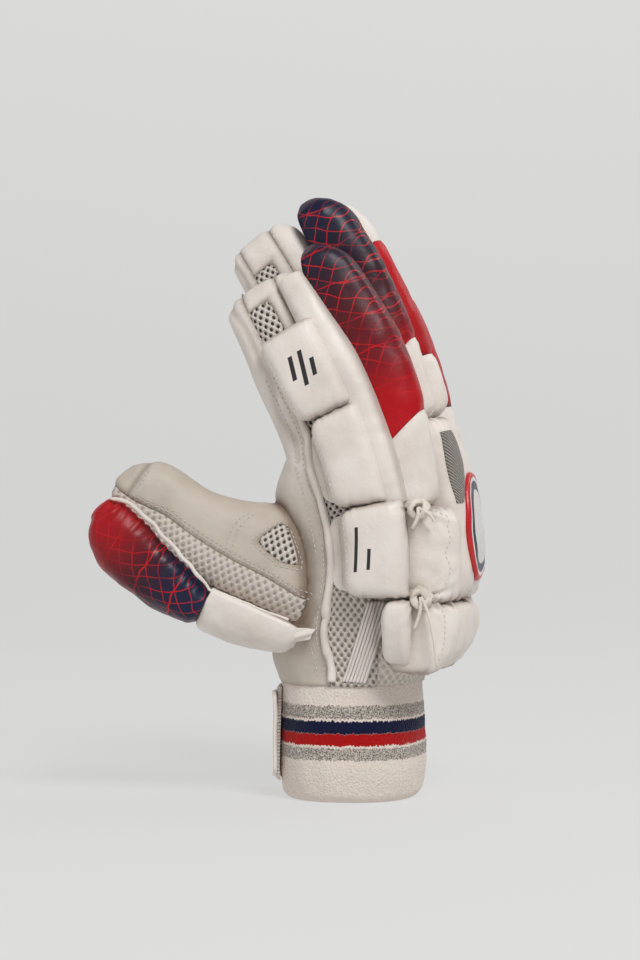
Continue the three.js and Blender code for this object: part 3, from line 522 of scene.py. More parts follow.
def cut_along(bm, field, where=None):
    """Gives the mesh edges along the line where the field is 0, and keeps earlier lines."""
    kept = bm.verts.layers.int["kept"]
    for snap in (True, False):
        bm.verts.ensure_lookup_table()
        bm.edges.ensure_lookup_table()
        points = points_of(bm)
        values = field(points)
        if where is not None:
            values = np.where(where(points), values, 50)
        ends = np.array([(e.verts[0].index, e.verts[1].index) for e in bm.edges])
        a, b = values[ends[:, 0]], values[ends[:, 1]]
        crossing = np.nonzero((a * b < 0) & (np.abs(a - b) < 20))[0]
        share = a[crossing] / (a[crossing] - b[crossing])
        if snap:
            moved = set()
            for i, u in zip(crossing, share):
                edge = bm.edges[i]
                end = edge.verts[0] if u < 0.3 else edge.verts[1] if u > 0.7 else None
                if end is None or end in moved or end[kept]:
                    continue
                moved.add(end)
                end.co = edge.verts[0].co.lerp(edge.verts[1].co, float(u))
            continue
        near = {bm.verts[i] for i in np.nonzero(np.abs(values) < 0.02)[0]}
        chosen = [bm.edges[i] for i in crossing]
        for edge, u in zip(chosen, share):
            _, made = bmesh.utils.edge_split(edge, edge.verts[0], float(u))
            near.add(made)
        for vert in near:
            vert[kept] = 1
        bmesh.ops.connect_verts(bm, verts=list(near))
        bm.verts.index_update()


def weld_slivers(bm):
    """Joins points that a cut left under 0.45 mm apart, onto the cut."""
    kept = bm.verts.layers.int["kept"]
    for _ in range(3):
        short = sorted((e.calc_length(), e.index, e) for e in bm.edges if e.calc_length() < 0.45)
        targets, used = {}, set()
        for _, _, edge in short:
            a, b = edge.verts
            if a in used or b in used:
                continue
            if b[kept]:
                a, b = b, a
            targets[b] = a
            used.update((a, b))
        bmesh.ops.weld_verts(bm, targetmap=targets)
        bm.edges.index_update()


# Materials
class Look:
    """A node material, with short calls for its nodes."""

    def __init__(self, name, **values):
        self.material = bpy.data.materials.new(name)
        self.material.use_nodes = True
        self.tree = self.material.node_tree
        self.shader = self.tree.nodes["Principled BSDF"]
        for key, number in values.items():
            self.shader.inputs[key.replace("_", " ")].default_value = number

    def put(self, socket, value):
        if isinstance(value, bpy.types.NodeSocket):
            self.tree.links.new(value, socket)
        else:
            socket.default_value = value

    def node(self, kind, inputs=(), out=0, **settings):
        made = self.tree.nodes.new("ShaderNode" + kind)
        for key, setting in settings.items():
            setattr(made, key, setting)
        for key, number in dict(inputs).items():
            self.put(made.inputs[key], number)
        return made.outputs[out]

    def math(self, operation, a, b=0.0, clamp=False):
        return self.node("Math", {0: a, 1: b}, operation=operation, use_clamp=clamp)

    def plus(self, a, b):
        return self.math("ADD", a, b)

    def minus(self, a, b):
        return self.math("SUBTRACT", a, b)

    def times(self, a, b):
        return self.math("MULTIPLY", a, b)

    def vector(self, operation, a, b=(0, 0, 0), out=0):
        return self.node("VectorMath", {0: a, 1: b}, out, operation=operation)

    def lay(self):
        return self.node("Attribute", attribute_name="lay", out=1)

    def place(self):
        return self.node("TexCoord", out=3)

    def split(self, vector):
        made = self.tree.nodes.new("ShaderNodeSeparateXYZ")
        self.tree.links.new(vector, made.inputs[0])
        return made.outputs

    def join(self, x, y):
        return self.node("CombineXYZ", {0: x, 1: y})

    def noise(self, scale, detail, rough=0.5, place=None):
        """A smooth random value at the point, or at another place."""
        if place is None:
            place = self.place()
        sockets = {"Vector": place, "Scale": scale, "Detail": detail, "Roughness": rough}
        return self.node("TexNoise", sockets)

    def cells(self, scale, feature="F1"):
        return self.node("TexVoronoi", {"Vector": self.place(), "Scale": scale}, feature=feature)

    def step(self, value, low, high, a=0.0, b=1.0):
        sockets = {0: value, 1: low, 2: high, 3: a, 4: b}
        return self.node("MapRange", sockets, interpolation_type="SMOOTHSTEP")

    def mix(self, share, a, b):
        made = self.tree.nodes.new("ShaderNodeMix")
        made.data_type = "RGBA"
        self.put(made.inputs[0], share)
        self.put(made.inputs[6], a)
        self.put(made.inputs[7], b)
        return made.outputs[2]

    def colour(self, value):
        self.put(self.shader.inputs["Base Color"], value)

    def rough(self, value):
        self.put(self.shader.inputs["Roughness"], value)

    def worn(self, scale, low, high):
        """Roughness that drifts between low and high."""
        self.rough(self.step(self.noise(scale, 3.0), 0.3, 0.7, low, high))

    def bump(self, *heights):
        """Pairs of height and depth in millimetres, the broadest first."""
        normal = None
        for height, depth in heights:
            sockets = {"Height": height, "Distance": depth * MM, "Strength": 1.0}
            if normal is not None:
                sockets["Normal"] = normal
            normal = self.node("Bump", sockets)
        self.put(self.shader.inputs["Normal"], normal)


def rgb(*values):
    """A colour given in the 0 to 255 of a screen."""
    c = [v / 255 for v in values]
    return tuple(v / 12.92 if v <= 0.04045 else ((v + 0.055) / 1.055) ** 2.4 for v in c) + (1.0,)


WHITE = rgb(230, 222, 214)
SHADE = rgb(214, 204, 195)
RED = rgb(186, 8, 18)
NAVY = rgb(20, 24, 58)
INK = rgb(40, 36, 37)


def leather_base(look, tint=WHITE, shade=SHADE):
    """Grain, small pores, uneven tone, and painted shade where the shade attribute marks seams, folds and
    hollows. Returns the colour and the bump's heights.
    """
    tone = look.noise(28.0, 4.0, rough=0.6)
    colour = look.mix(look.step(tone, 0.35, 0.75), tint, shade)
    # Painted shade: the colour darkens towards brown where the shade attribute is high, in seams, creases
    # and hollows
    crease = look.node("Attribute", attribute_name="shade", out=2)
    colour = look.mix(look.math("MULTIPLY", crease, 0.75, clamp=True), colour, rgb(128, 110, 96))
    pores = look.cells(900.0)
    grain = look.cells(420.0, feature="SMOOTH_F1")
    creases = look.noise(110.0, 5.0, rough=0.65)
    return colour, [(creases, 0.35), (grain, 0.12), (pores, 0.06)]


def bars(look, marks):
    """Ink inside slanted bars: each is its middle s and t, half length along s, half width, slant."""
    s, t, _ = look.split(look.lay())
    total = 0.0
    for s0, t0, long, wide, slant in marks:
        down = look.minus(s, s0)
        over = look.minus(look.minus(t, t0), look.times(down, slant))
        within = look.step(look.math("ABSOLUTE", down), long + 0.1, long - 0.1)
        beside = look.step(look.math("ABSOLUTE", over), wide + 0.1, wide - 0.1)
        inside = look.times(within, beside)
        total = look.math("MAXIMUM", inside, total)
    return total


def leather(name, tint=WHITE, shade=SHADE, rough=0.46, marks=()):
    look = Look(name, Specular_IOR_Level=0.4, Coat_Weight=0.06, Coat_Roughness=0.4)
    colour, heights = leather_base(look, tint, shade)
    if marks:
        colour = look.mix(bars(look, marks), colour, INK)
    look.colour(colour)
    look.worn(60.0, rough - 0.06, rough + 0.1)
    look.bump(*heights)
    return look.material


def hexes(look, u, v, wide, tall, long):
    """Distance from the nearest hole of a staggered pattern, in half widths: long is its shape."""
    u = look.math("DIVIDE", u, wide)
    v = look.math("DIVIDE", v, tall)
    both = []
    for shift in (0.0, 0.5):
        x = look.minus(look.math("FRACT", look.plus(u, shift)), 0.5)
        y = look.minus(look.math("FRACT", look.plus(v, shift)), 0.5)
        x = look.times(x, 2.0)
        y = look.times(y, 2.0 * tall / wide / long)
        both.append(look.vector("LENGTH", look.join(x, y), out=1))
    return look.math("MINIMUM", both[0], both[1])


def mesh_cloth(name, axes, wide, tall, radius, deep, hole_shade, cloth=None):
    """Knitted mesh: staggered holes, with a fine thread between them. The holes are not cut: each is
    painted with the shade inside it, in two tones of painted shade, low and high on the hand."""
    look = Look(name, Specular_IOR_Level=0.25, Sheen_Weight=0.08, Sheen_Roughness=0.5)
    cloth = cloth or (rgb(226, 218, 210), rgb(206, 197, 188))
    lay = look.split(look.lay())
    drift = look.times(look.minus(look.noise(90.0, 1.0), 0.5), 1.6)
    u, v = look.plus(lay[axes[0]], drift), look.minus(lay[axes[1]], drift)
    hole = hexes(look, u, v, wide, tall, 1.35)
    inside = look.step(hole, radius + 0.07, radius - 0.07)
    thread = look.noise(1500.0, 2.0)
    # Painted shade in the holes: the first tone low on the hand, the second higher up
    depth = look.mix(look.step(lay[0], 50.0, 95.0), *hole_shade)
    look.colour(look.mix(inside, look.mix(thread, *cloth), depth))
    look.rough(look.step(thread, 0.3, 0.7, 0.75, 0.95))
    look.bump((look.step(hole, radius - 0.1, radius + 0.45), deep), (thread, 0.12))
    return look.material


# Pieces
def piece(name, form, material, nodes=()):
    """Makes an object that rides on the part. A closed form's faces are turned outwards."""
    mesh = mesh_of(name, form.points * MM + ORIGIN, form.faces)
    mesh.attributes.new("lay", "FLOAT_VECTOR", "POINT").data.foreach_set("vector", form.lay.ravel())
    if form.shade is not None:
        mesh.attributes.new("shade", "FLOAT", "POINT").data.foreach_set("value", form.shade)
    bm = bmesh.new()
    bm.from_mesh(mesh)
    bmesh.ops.recalc_face_normals(bm, faces=bm.faces)
    bm.to_mesh(mesh)
    bm.free()
    mesh.shade_smooth()
    mesh.materials.append(material)
    thing = linked(name, mesh)
    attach(thing, "root")
    if nodes:
        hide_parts(*nodes)
    return thing


def white_piece(name, form, nodes=()):
    return piece(name, form, leather_white, nodes)


def thicken(thing, thickness):
    solid = thing.modifiers.new("thickness", "SOLIDIFY")
    solid.thickness = thickness * MM
    solid.use_quality_normals = True
    solid.offset = -1


def palm_leather_look():
    """Beige on the palm and white on the fingers."""
    look = Look("palm_leather_look", Specular_IOR_Level=0.4)
    low, heights = leather_base(look, rgb(196, 186, 174), rgb(178, 167, 155))
    high, _ = leather_base(look)
    s = look.split(look.lay())[0]
    look.colour(look.mix(look.step(s, 84.0, 122.0), low, high))
    look.worn(60.0, 0.5, 0.64)
    look.bump(*heights)
    return look.material


leather_white = leather("white_leather")
leather_soft = leather("soft_leather", rgb(196, 185, 172), rgb(179, 168, 154), 0.6)
leather_palm = palm_leather_look()
# The tones given for each mesh's holes are painted shade
mesh_side = mesh_cloth("side_mesh", (1, 0), 3.3, 4.8, 0.43, 0.7, (rgb(132, 119, 109), rgb(60, 51, 46)))
mesh_vent = mesh_cloth("vent_mesh", (0, 1), 3.5, 4.8, 0.42, 0.7, (rgb(78, 68, 61), rgb(78, 68, 61)))
mesh_thumb = mesh_cloth("thumb_mesh_cloth", (0, 1), 3.9, 5.2, 0.34, 0.5, (rgb(160, 147, 136),) * 2,
                        (rgb(216, 206, 197), rgb(200, 189, 179)))
mesh_wrist = mesh_cloth("wrist_mesh_cloth", (1, 0), 3.8, 5.0, 0.36, 0.7, (rgb(188, 176, 165),) * 2,
                        (rgb(230, 221, 212), rgb(212, 202, 193)))

# Share of the line's length at which each finger's mesh gives way to leather
MESH_TOP = {"index": 0.832, "middle": 0.917, "ring": 0.92, "little": 0.82}
MESH_BACK = -19.5
# The skin's lower edge, just inside the top of the cuff
SKIN_FOOT = 54
SKINS = {
    "palm_leather": leather_palm, "thumb_leather": leather_soft, "wrist_mesh": mesh_wrist,
    "thumb_mesh": mesh_thumb, "thumb_vent": mesh_vent,
}
# Places where the leather lies in a hollow: point, reach and depth of the shade
SHADOWS = [((-17, -41, 72), 9, 0.4), ((-12, -41, 82), 7, 0.3), ((-26, -38, 142), 8, 0.25)]


def mesh_end_field(points):
    """Less than 0 where a finger's side is mesh, and more where it is leather."""
    s, t, _ = hand_lay(points).T
    tops = np.array(list(MESH_TOP.values())) * HAND_LENGTH
    beside = np.where(s > 0.74 * HAND_LENGTH, t - MESH_BACK, -50)
    return np.maximum(s - tops[lanes_of(points)] - 0.12 * (t + 24), beside)


def on_thumb(points):
    return thumb_field(points) > 0.01


def on_hand(points):
    return thumb_field(points) < 0.01


def on_back(points):
    return on_hand(points) & (back_field(points) > -0.02)


def on_sides(points):
    return on_hand(points) & (palm_field(points) > -0.02) & (back_field(points) < 0.02)


def cut_skin():
    """The skin's points and faces, with edges along every seam."""
    points, faces = soft_skin()
    mesh = mesh_of("scratch", points, faces)
    bm = bmesh.new()
    bm.from_mesh(mesh)
    bpy.data.meshes.remove(mesh)
    bm.verts.layers.int.new("kept")
    cut_along(bm, lambda p: p[:, 2] - SKIN_FOOT)
    cut_along(bm, thumb_field)
    cut_along(bm, palm_field, on_hand)
    cut_along(bm, back_field, on_hand)
    cut_along(bm, wrist_field, on_back)
    for level in (-PITCH, 0, PITCH):
        cut_along(bm, lambda p: p[:, 1] - level, on_sides)
    cut_along(bm, mesh_end_field, on_sides)
    for field in (thumb_edge_field, thumb_under_field, vent_field):
        cut_along(bm, field, on_thumb)
    weld_slivers(bm)
    bm.verts.index_update()
    points = points_of(bm)
    faces = [tuple(v.index for v in f.verts) for f in bm.faces]
    bm.free()
    return points, faces


def seam_fields(points):
    """Distances from the seams: of palm, back and wrist, and the thumb's edge, underside and vent."""
    hand = [field(points) for field in (palm_field, back_field, wrist_field)]
    return hand + [field(points) for field in (thumb_edge_field, thumb_under_field, vent_field)]


def press_seams(form):
    """Pulls the skin in along its seams, puckers it beside them, and shades both."""
    points, lay = form.points, form.lay
    thumb = thumb_field(points)
    own = thumb > 0
    palm, back, wrist, edge, under, vent = seam_fields(points)
    lay[own] = np.stack(thumb_line.foot(points), 1)[own]
    hand_seams = np.minimum(np.abs(palm), np.abs(back))
    seams = np.where(own, np.minimum(np.abs(edge), np.abs(under)), hand_seams)
    seams = np.where(~own & (back > 0), np.minimum(seams, np.abs(wrist)), seams)
    seams = np.minimum(seams, np.abs(thumb) * 0.8)
    tip_seam = np.abs(thumb_tip_field(points))
    seams = np.where(own & (edge < 0), np.minimum(seams, tip_seam), seams)
    side = ~own & (palm > 0) & (back < 0) & (lay[:, 0] > 0.73 * HAND_LENGTH)
    seams = np.where(side, np.minimum(seams, np.abs(mesh_end_field(points))), seams)
    crease = np.abs(palm + 6.5 + 1.5 * waves(points, 30, 17))
    fold = np.where(~own & (lay[:, 0] > 0.5 * HAND_LENGTH), crease, 50)
    window = np.where(own, vent, 50)
    amount = -0.8 * bell(seams / 2.0) - 0.8 * bell(np.minimum(window, 1) / 2.0)
    amount -= 0.8 * bell(fold / 2.0) + 0.6 * bell(thumb / 1.7)
    shade = 0.8 * bell(seams / 1.3) + 0.4 * bell(fold / 1.6) + 0.5 * bell(thumb / 1.4)
    shade += 0.6 * bell(np.minimum(window, 5) / 1.3)
    for place, reach, most in SHADOWS:
        shade += most * bell(np.linalg.norm(points - place, axis=1) / reach)
    amount += 2.0 * bell((points[:, 2] - 66) / 6) * np.clip(back / 6 + 0.6, 0, 1) * ~own
    amount += 0.22 * waves(points, 7, 3) * np.exp(-seams / 5)
    amount += 0.5 * waves(points, 34, 5) * bell((palm + 14) / 26)
    amount += np.where(own, 0.35 * waves(points, 26, 9), 0)
    form.shade = shade
    form.push(amount * np.clip((points[:, 2] - 53) / 6, 0, 1))


def draw_in(form, height):
    """Brings the lower edge in to the cuff."""
    low = np.clip((61 - height) / 7, 0, 1)[:, None] ** 1.5
    flat = form.points[:, :2] / (CUFF_DEPTH / 2, CUFF_WIDTH / 2)
    reach = (np.abs(flat) ** CUFF_POWER).sum(1)[:, None] ** (1 / CUFF_POWER)
    target = form.points[:, :2] / reach * (1 + 0.9 / 35)
    form.points[:, :2] += low * (target - form.points[:, :2])


def panel_names(points, faces):
    """The panel of each face, empty where the cuff hides it."""
    centres = np.array([points[list(f)].mean(0) for f in faces])
    own = thumb_field(centres) > 0
    palm, back, wrist, edge, under, vent = seam_fields(centres)
    finger = np.array(list(FINGERS), object)[lanes_of(centres)]
    names = np.full(len(faces), "palm_leather", object)
    side = palm > 0
    names[side] = (finger + "_gusset")[side]
    tips = side & (mesh_end_field(centres) > 0)
    names[tips] = (finger + "_tip")[tips]
    names[back > 0] = "back_leather"
    names[(back > 0) & (wrist < 0)] = "wrist_mesh"
    names[own] = "thumb_back"
    names[own & (under < 0)] = "thumb_mesh"
    names[own & (edge < 0)] = "thumb_leather"
    names[own & (vent < 0)] = "thumb_vent"
    names[~own & (centres[:, 2] < SKIN_FOOT)] = ""
    return names


def seams_smoothed(points, faces, names):
    """Evens out the lines between panels."""
    sides = {}
    for face, name in zip(faces, names):
        for i, j in zip(face, face[1:] + face[:1]):
            sides.setdefault((min(i, j), max(i, j)), set()).add(name)
    seams = np.array([edge for edge, found in sides.items() if len(found) > 1])
    degree = np.bincount(seams.ravel(), minlength=len(points))
    inner = (degree == 2)[:, None]
    for _ in range(6):
        points = np.where(inner, points * 0.5 + neighbours(points, seams) * 0.25, points)
    return points


def skin_pieces():
    """Makes the panels, and returns the whole skin."""
    points, faces = cut_skin()
    form = Form(points, faces, hand_lay(points))
    press_seams(form)
    draw_in(form, points[:, 2])
    names = panel_names(points, faces)
    form.points = seams_smoothed(form.points, faces, names)
    for name in filter(None, dict.fromkeys(names)):
        kept = [f for f, n in zip(faces, names) if n == name]
        used = sorted({i for f in kept for i in f})
        index = {old: new for new, old in enumerate(used)}
        part = Form(form.points[used], [tuple(index[i] for i in f) for f in kept], form.lay[used])
        part.shade = form.shade[used]
        if name == "wrist_mesh":
            part.lay[:, 1] = np.arctan2(part.points[:, 1], part.points[:, 0]) * 37
        mesh = name in ("wrist_mesh", "thumb_mesh", "thumb_vent") or "gusset" in name
        material = SKINS.get(name, mesh_side if mesh else leather_white)
        nodes = () if "_tip" in name else [name]
        thicken(piece(name + "_skin", part, material, nodes), LEATHER)
    return form


skin_form = skin_pieces()
skin_tree = BVHTree.FromPolygons(skin_form.points.tolist(), skin_form.faces)


# Padding: rolls, pads, guard and cap
def ends(s, start, stop, first, last):
    """How far a pad has filled out at s: an end is (share of the thickness there, length)."""
    fill = np.ones_like(s)
    for distance, (least, reach) in ((s - start, first), (stop - s, last)):
        u = np.clip(distance / reach / 1.3, 0, 1)
        fill = np.minimum(fill, least + (1 - least) * np.sqrt(1 - (1 - u) ** 3))
    return fill


def spaced(start, stop, count):
    """Places from start to stop, closer together near both."""
    u = np.linspace(0, 1, count)
    return start + (stop - start) * (u - 0.11 * np.sin(2 * np.pi * u))


def puckers(form, start, stop, depth, wave, reach, seed):
    """Leather gathered at the seams across a pad's two ends."""
    s, t, w = form.lay.T
    rng = np.random.default_rng(seed)
    amount = np.zeros_like(s)
    for distance in (s - start, stop - s):
        phase = rng.uniform(0, 6.28, 3)
        ridges = sum(
            np.sin((w + 0.6 * t) * 2 * np.pi / (wave * k) + 0.05 * distance + p)
            for k, p in zip((1, 1.7, 0.62), phase)
        )
        amount += depth * ridges * np.exp(-np.clip(distance, 0, None) / reach)
    return amount


def gather(form, centre, depth, reach, count, seed):
    """Creases that run out from a point, such as a knot."""
    away = form.points - centre
    far = np.linalg.norm(away, axis=1)
    a = np.arctan2(away[:, 2], away[:, 0] * 0.6 + away[:, 1])
    rng = np.random.default_rng(seed)
    ridges = np.sin(count * a + rng.uniform(0, 6.28)) + 0.6 * np.sin((count * 2 + 1) * a + 1)
    return depth * ridges * np.exp(-far / reach) * np.clip(far / 3, 0, 1)


def printed_look(name, start, stop, stops, lines, slope=0.0, reflection_from=None):
    """Glossy print: a wash from end to end, under fine crossing lines, with a pale band of painted
    reflection on one side of the crest.
    """
    look = Look(name, Coat_Weight=0.08, Coat_Roughness=0.25, Specular_IOR_Level=0.25)
    s, t, w = look.split(look.lay())
    drift = look.times(look.noise(40.0, 3.0), 12.0)
    along = look.plus(look.plus(s, drift), look.times(t, slope))
    share = look.node("MapRange", {0: along, 1: start + 6, 2: stop + 6})
    ramp = look.tree.nodes.new("ShaderNodeValToRGB")
    look.tree.links.new(share, ramp.inputs[0])
    while len(ramp.color_ramp.elements) < len(stops):
        ramp.color_ramp.elements.new(0.5)
    for element, (at, colour) in zip(ramp.color_ramp.elements, stops):
        element.position = at
        element.color = colour
    colour = ramp.outputs[0]
    around = look.minus(w, t)
    drawn = 0.0
    for i, (lean, reach, thick) in enumerate(lines):
        wobble = look.noise(60.0, 2.0, place=look.vector("ADD", look.place(), (i * 1.7, 0, 0)))
        shift = look.times(look.minus(wobble, 0.5), 7.0)
        along = look.plus(look.plus(look.times(around, lean), s), shift)
        wave = look.math("PINGPONG", look.plus(along, 500.0), reach)
        drawn = look.math("MAXIMUM", look.step(wave, thick, thick * 0.3), drawn)
    faded = look.step(look.noise(80.0, 2.0), 0.38, 0.62, 0.3, 1.0)
    colour = look.mix(look.times(drawn, faded), colour, rgb(190, 14, 26))
    # A pale band of painted reflection beside the roll's crest, where w passes the given edge
    if reflection_from is not None:
        top = look.times(look.step(w, reflection_from, reflection_from + 1.5), 0.34)
        colour = look.mix(top, colour, rgb(166, 128, 120))
    look.colour(colour)
    look.worn(90.0, 0.36, 0.48)
    creases = look.noise(120.0, 4.0, rough=0.6)
    grain = look.cells(520.0, feature="SMOOTH_F1")
    look.bump((creases, 0.22), (grain, 0.05))
    return look.material


# Columns: lean of the lines, half their spacing, half their width
LATTICE = [(1.3, 4.6, 0.5), (-0.8, 4.0, 0.42), (-0.15, 8.5, 0.5)]
# Colours along the ring and little fingers' rolls
RED_ROLL = [(0, rgb(26, 26, 52)), (0.1, rgb(44, 24, 42)), (0.2, rgb(160, 10, 20)), (1, rgb(186, 4, 16))]
# The index and middle prints carry a band of painted reflection along their crests
glossy = {
    "index": printed_look(
        "index_print", 0.47 * HAND_LENGTH, 0.87 * HAND_LENGTH,
        [(0, rgb(180, 4, 18)), (0.22, rgb(168, 6, 18)), (0.4, rgb(116, 16, 26)), (0.68, rgb(76, 22, 30)),
         (0.88, rgb(42, 22, 38)), (1, rgb(26, 22, 46))], LATTICE, reflection_from=-1.5 * PITCH + 4.5),
    "middle": printed_look(
        "middle_print", 0.605 * HAND_LENGTH, 0.97 * HAND_LENGTH,
        [(0, rgb(180, 4, 18)), (0.12, rgb(166, 8, 20)), (0.3, rgb(84, 20, 28)), (0.55, rgb(48, 22, 34)),
         (0.78, rgb(24, 22, 44)), (1, rgb(18, 22, 52))], LATTICE, reflection_from=-0.5 * PITCH + 5),
    "ring": printed_look(
        "ring_print", 0.63 * HAND_LENGTH, 0.865 * HAND_LENGTH,
        RED_ROLL, [(1.3, 9.5, 0.35)], slope=0.3),
    "little": printed_look(
        "little_print", 0.53 * HAND_LENGTH, 0.76 * HAND_LENGTH,
        RED_ROLL, [(1.3, 9.5, 0.35)], slope=0.3),
}
ROLL_START = 0.349
CENTRE_START = 0.513
# Columns: share of the roll's length, share of ROLL_HEIGHT
CROWNS = {
    "index": [(0, 0.72), (0.1, 0.74), (0.28, 0.83), (0.36, 0.91), (0.6, 1.01), (0.82, 0.94), (1, 0.88)],
    "middle": [(0, 0.92), (0.3, 0.97), (0.6, 1), (1, 0.94)],
    "ring": [(0, 1), (0.3, 1.06), (0.6, 1.06), (1, 0.97)],
    "little": [(0, 0.8), (0.3, 0.9), (0.6, 0.98), (1, 0.9)],
}
# Columns: cuts, tilt, panels
PANELS = {
    "index": ([0.47], -30, ["knuckle", "printed"]),
    "middle": ([0.605], -30, ["knuckle", "printed"]),
    "ring": ([0.63, 0.865], 0, ["knuckle", "printed", "tip"]),
    "little": ([0.53, 0.76], 0, ["knuckle", "printed", "tip"]),
}


def turned(vector, axis, angle):
    """A vector turned about an axis, by Rodrigues' rule."""
    c, s = math.cos(angle), math.sin(angle)
    return vector * c + np.cross(axis, vector) * s + axis * (axis @ vector) * (1 - c)


def rounded(away, reach, n=2.3):
    """Share of the full size at a distance from a domed tip."""
    return (1 - (1 - np.clip(away / reach, 0, 1)) ** n) ** (1 / n)


def roll_form(name):
    outer = name in ("index", "little")
    start = (ROLL_START if outer else CENTRE_START) * HAND_LENGTH
    stop = FINGERS[name][2] * HAND_LENGTH + 2
    at = np.unique(np.concatenate([spaced(start, stop - 2, 90), stop - 7 * np.linspace(0.02, 1, 12) ** 2]))
    crown = table(CROWNS[name], 1, (at - start) / (stop - start))
    dome = rounded(stop - at, 21)
    pinch = ends(at, start, stop, (0.62, 8), (1, 1))
    high = ROLL_HEIGHT * crown
    half = ROLL_WIDTH / 2 * (0.25 + 0.75 * rounded(stop - at, 16)) * (0.94 + 0.06 * pinch)
    half = half * rounded(stop - at, 6, 2)
    lift = 0.36 * (1 - dome)
    thick = lift + (1 - lift) * dome
    form = loft(line_of(name), FINGERS[name][0] * PITCH, at, GAP + high * lift,
                GAP + high * np.minimum(thick, pinch), -half, half, dee(44, 2.7), (0.6, 0.1), 3)
    lane = FINGERS[name][0] * PITCH
    side = (form.lay[:, 2] - lane) / (ROLL_WIDTH / 2)
    seed = len(name) * 7
    amount = puckers(form, start, stop + 40, 0.28, 5.2, 6, seed)
    amount += 0.22 * waves(form.points, 17, seed) + 0.1 * waves(form.points, 7, seed + 1)
    cuts, tilt, _ = PANELS[name]
    for share in cuts:
        place = line_of(name).place(share * HAND_LENGTH, 0, lane)
        up = turned(line_of(name).tangent(share * HAND_LENGTH), line_of(name).across, math.radians(tilt))
        off = (form.points - place) @ up
        ridges = np.sin(form.lay[:, 2] * 1.3) + np.sin(form.lay[:, 2] * 0.7 + form.lay[:, 1] * 0.9)
        amount += -0.85 * bell(off / 1.5) + 0.12 * ridges * np.exp(-np.abs(off) / 4)
    form.push(amount * np.clip(form.lay[:, 1] / 3, 0, 1) * np.clip(1.3 - 0.2 * side**2, 0, 1))
    return form


def sliced(thing, place, up, keep_above):
    """Cuts a piece with a plane and closes it there."""
    bm = bmesh.new()
    bm.from_mesh(thing.data)
    every = bm.verts[:] + bm.edges[:] + bm.faces[:]
    centre = (np.array(place) * MM + ORIGIN).tolist()
    cut = bmesh.ops.bisect_plane(bm, geom=every, plane_co=centre, plane_no=up.tolist(),
                                 clear_inner=keep_above, clear_outer=not keep_above)
    rim = [e for e in cut["geom_cut"] if isinstance(e, bmesh.types.BMEdge)]
    bmesh.ops.holes_fill(bm, edges=rim, sides=0)
    bm.to_mesh(thing.data)
    bm.free()


def rolls():
    for name in FINGERS:
        cuts, tilt, panels = PANELS[name]
        form = roll_form(name)
        for i, panel in enumerate(panels):
            glossy_panel = panel == "printed"
            material = glossy[name] if glossy_panel else leather_white
            node = f"{name}_roll_{panel}"
            thing = piece(node + "_padded", form, material, [node])
            for j in (i - 1, i):
                if not 0 <= j < len(cuts):
                    continue
                s = cuts[j] * HAND_LENGTH
                line = line_of(name)
                up = turned(line.tangent(s), line.across, math.radians(tilt))
                lane = FINGERS[name][0] * PITCH
                place = line.place(s, 0, lane) + up * (0.1 if j < i else -0.1)
                sliced(thing, place, up, j < i)


rolls()

# Columns: left, right, upper, height
COLUMNS = {
    "index": (-2, -1, ROLL_START, 0.94),
    "centre": (-1, 1, CENTRE_START, 1),
    "little": (1, 2, ROLL_START, 0.86),
}
ROW_SEAM = 0.169
ROW_FOOT = 0.036
PAD_CROWN = [(0.036, 0.63), (0.055, 0.73), (0.08, 0.83), (0.13, 0.93), (0.25, 0.97), (0.36, 1), (0.52, 0.97)]
KNOT_PLACES = [
    ("tie_upper", 0.343, 0.14),
    ("tie_lower", 0.18, 0.12),
]
knot_points = [
    hand_line.place(at * HAND_LENGTH, up * BODY_DEPTH, -2 * PITCH - 1.5) for _, at, up in KNOT_PLACES
]


def pad_form(column, start, stop):
    left, right, _, height = COLUMNS[column]
    left = left * PITCH + ROLL_SPACE / 2
    right = right * PITCH - ROLL_SPACE / 2
    at = spaced(start, stop, 72)
    wall = ends(at, start, stop, (0.66, 9), (0.66, 9))
    full = PAD_HEIGHT * height * table(PAD_CROWN, 1, at / HAND_LENGTH)
    inset = 1.1 * (1 - (wall - 0.66) / 0.34)

    def low(s, w):
        return np.clip(skin_height(s, w), -4, GAP) - 0.4

    def high(s, w):
        across = (2 * w - left - right) / (right - left)
        crown = 1 - 0.05 * across**2
        return GAP + (full * wall)[:, None] * crown

    wide = column == "centre"
    form = loft(hand_line, 0, at, low, high, left + inset, right - inset, dee(72 if wide else 44, 4),
                (0.5, 0.5), 3)
    seed = int(start * 3 + left + 200)
    amount = puckers(form, start, stop, 0.4, 5.5, 7, seed)
    amount += 0.5 * waves(form.points, 22, seed) + 0.16 * waves(form.points, 9, seed + 2)
    for i, point in enumerate(knot_points):
        amount += gather(form, point, 1.0, 12, 7, i)
    form.push(amount * np.clip(form.lay[:, 1] / 4, 0, 1))
    s, t, w = form.lay.T
    away = np.minimum(s - start, stop - s)
    for distance, inner in ((w - left, column != "index"), (right - w, column != "little")):
        away = np.minimum(away, distance) if inner else away
    form.shade = 0.6 * bell(np.clip(away, 0, None) / 1.6) + 0.35 * bell(np.clip(t, 0, None) / 6)
    return form


def pads():
    seam = ROW_SEAM * HAND_LENGTH
    for column, (_, _, upper, _) in COLUMNS.items():
        rows = {
            "upper": (seam + SEAM_GAP / 2, upper * HAND_LENGTH - SEAM_GAP),
            "lower": (ROW_FOOT * HAND_LENGTH, seam - SEAM_GAP / 2),
        }
        for row, (start, stop) in rows.items():
            node = f"{column}_pad_{row}"
            white_piece(node + "_padded", pad_form(column, start, stop), [node])


pads()

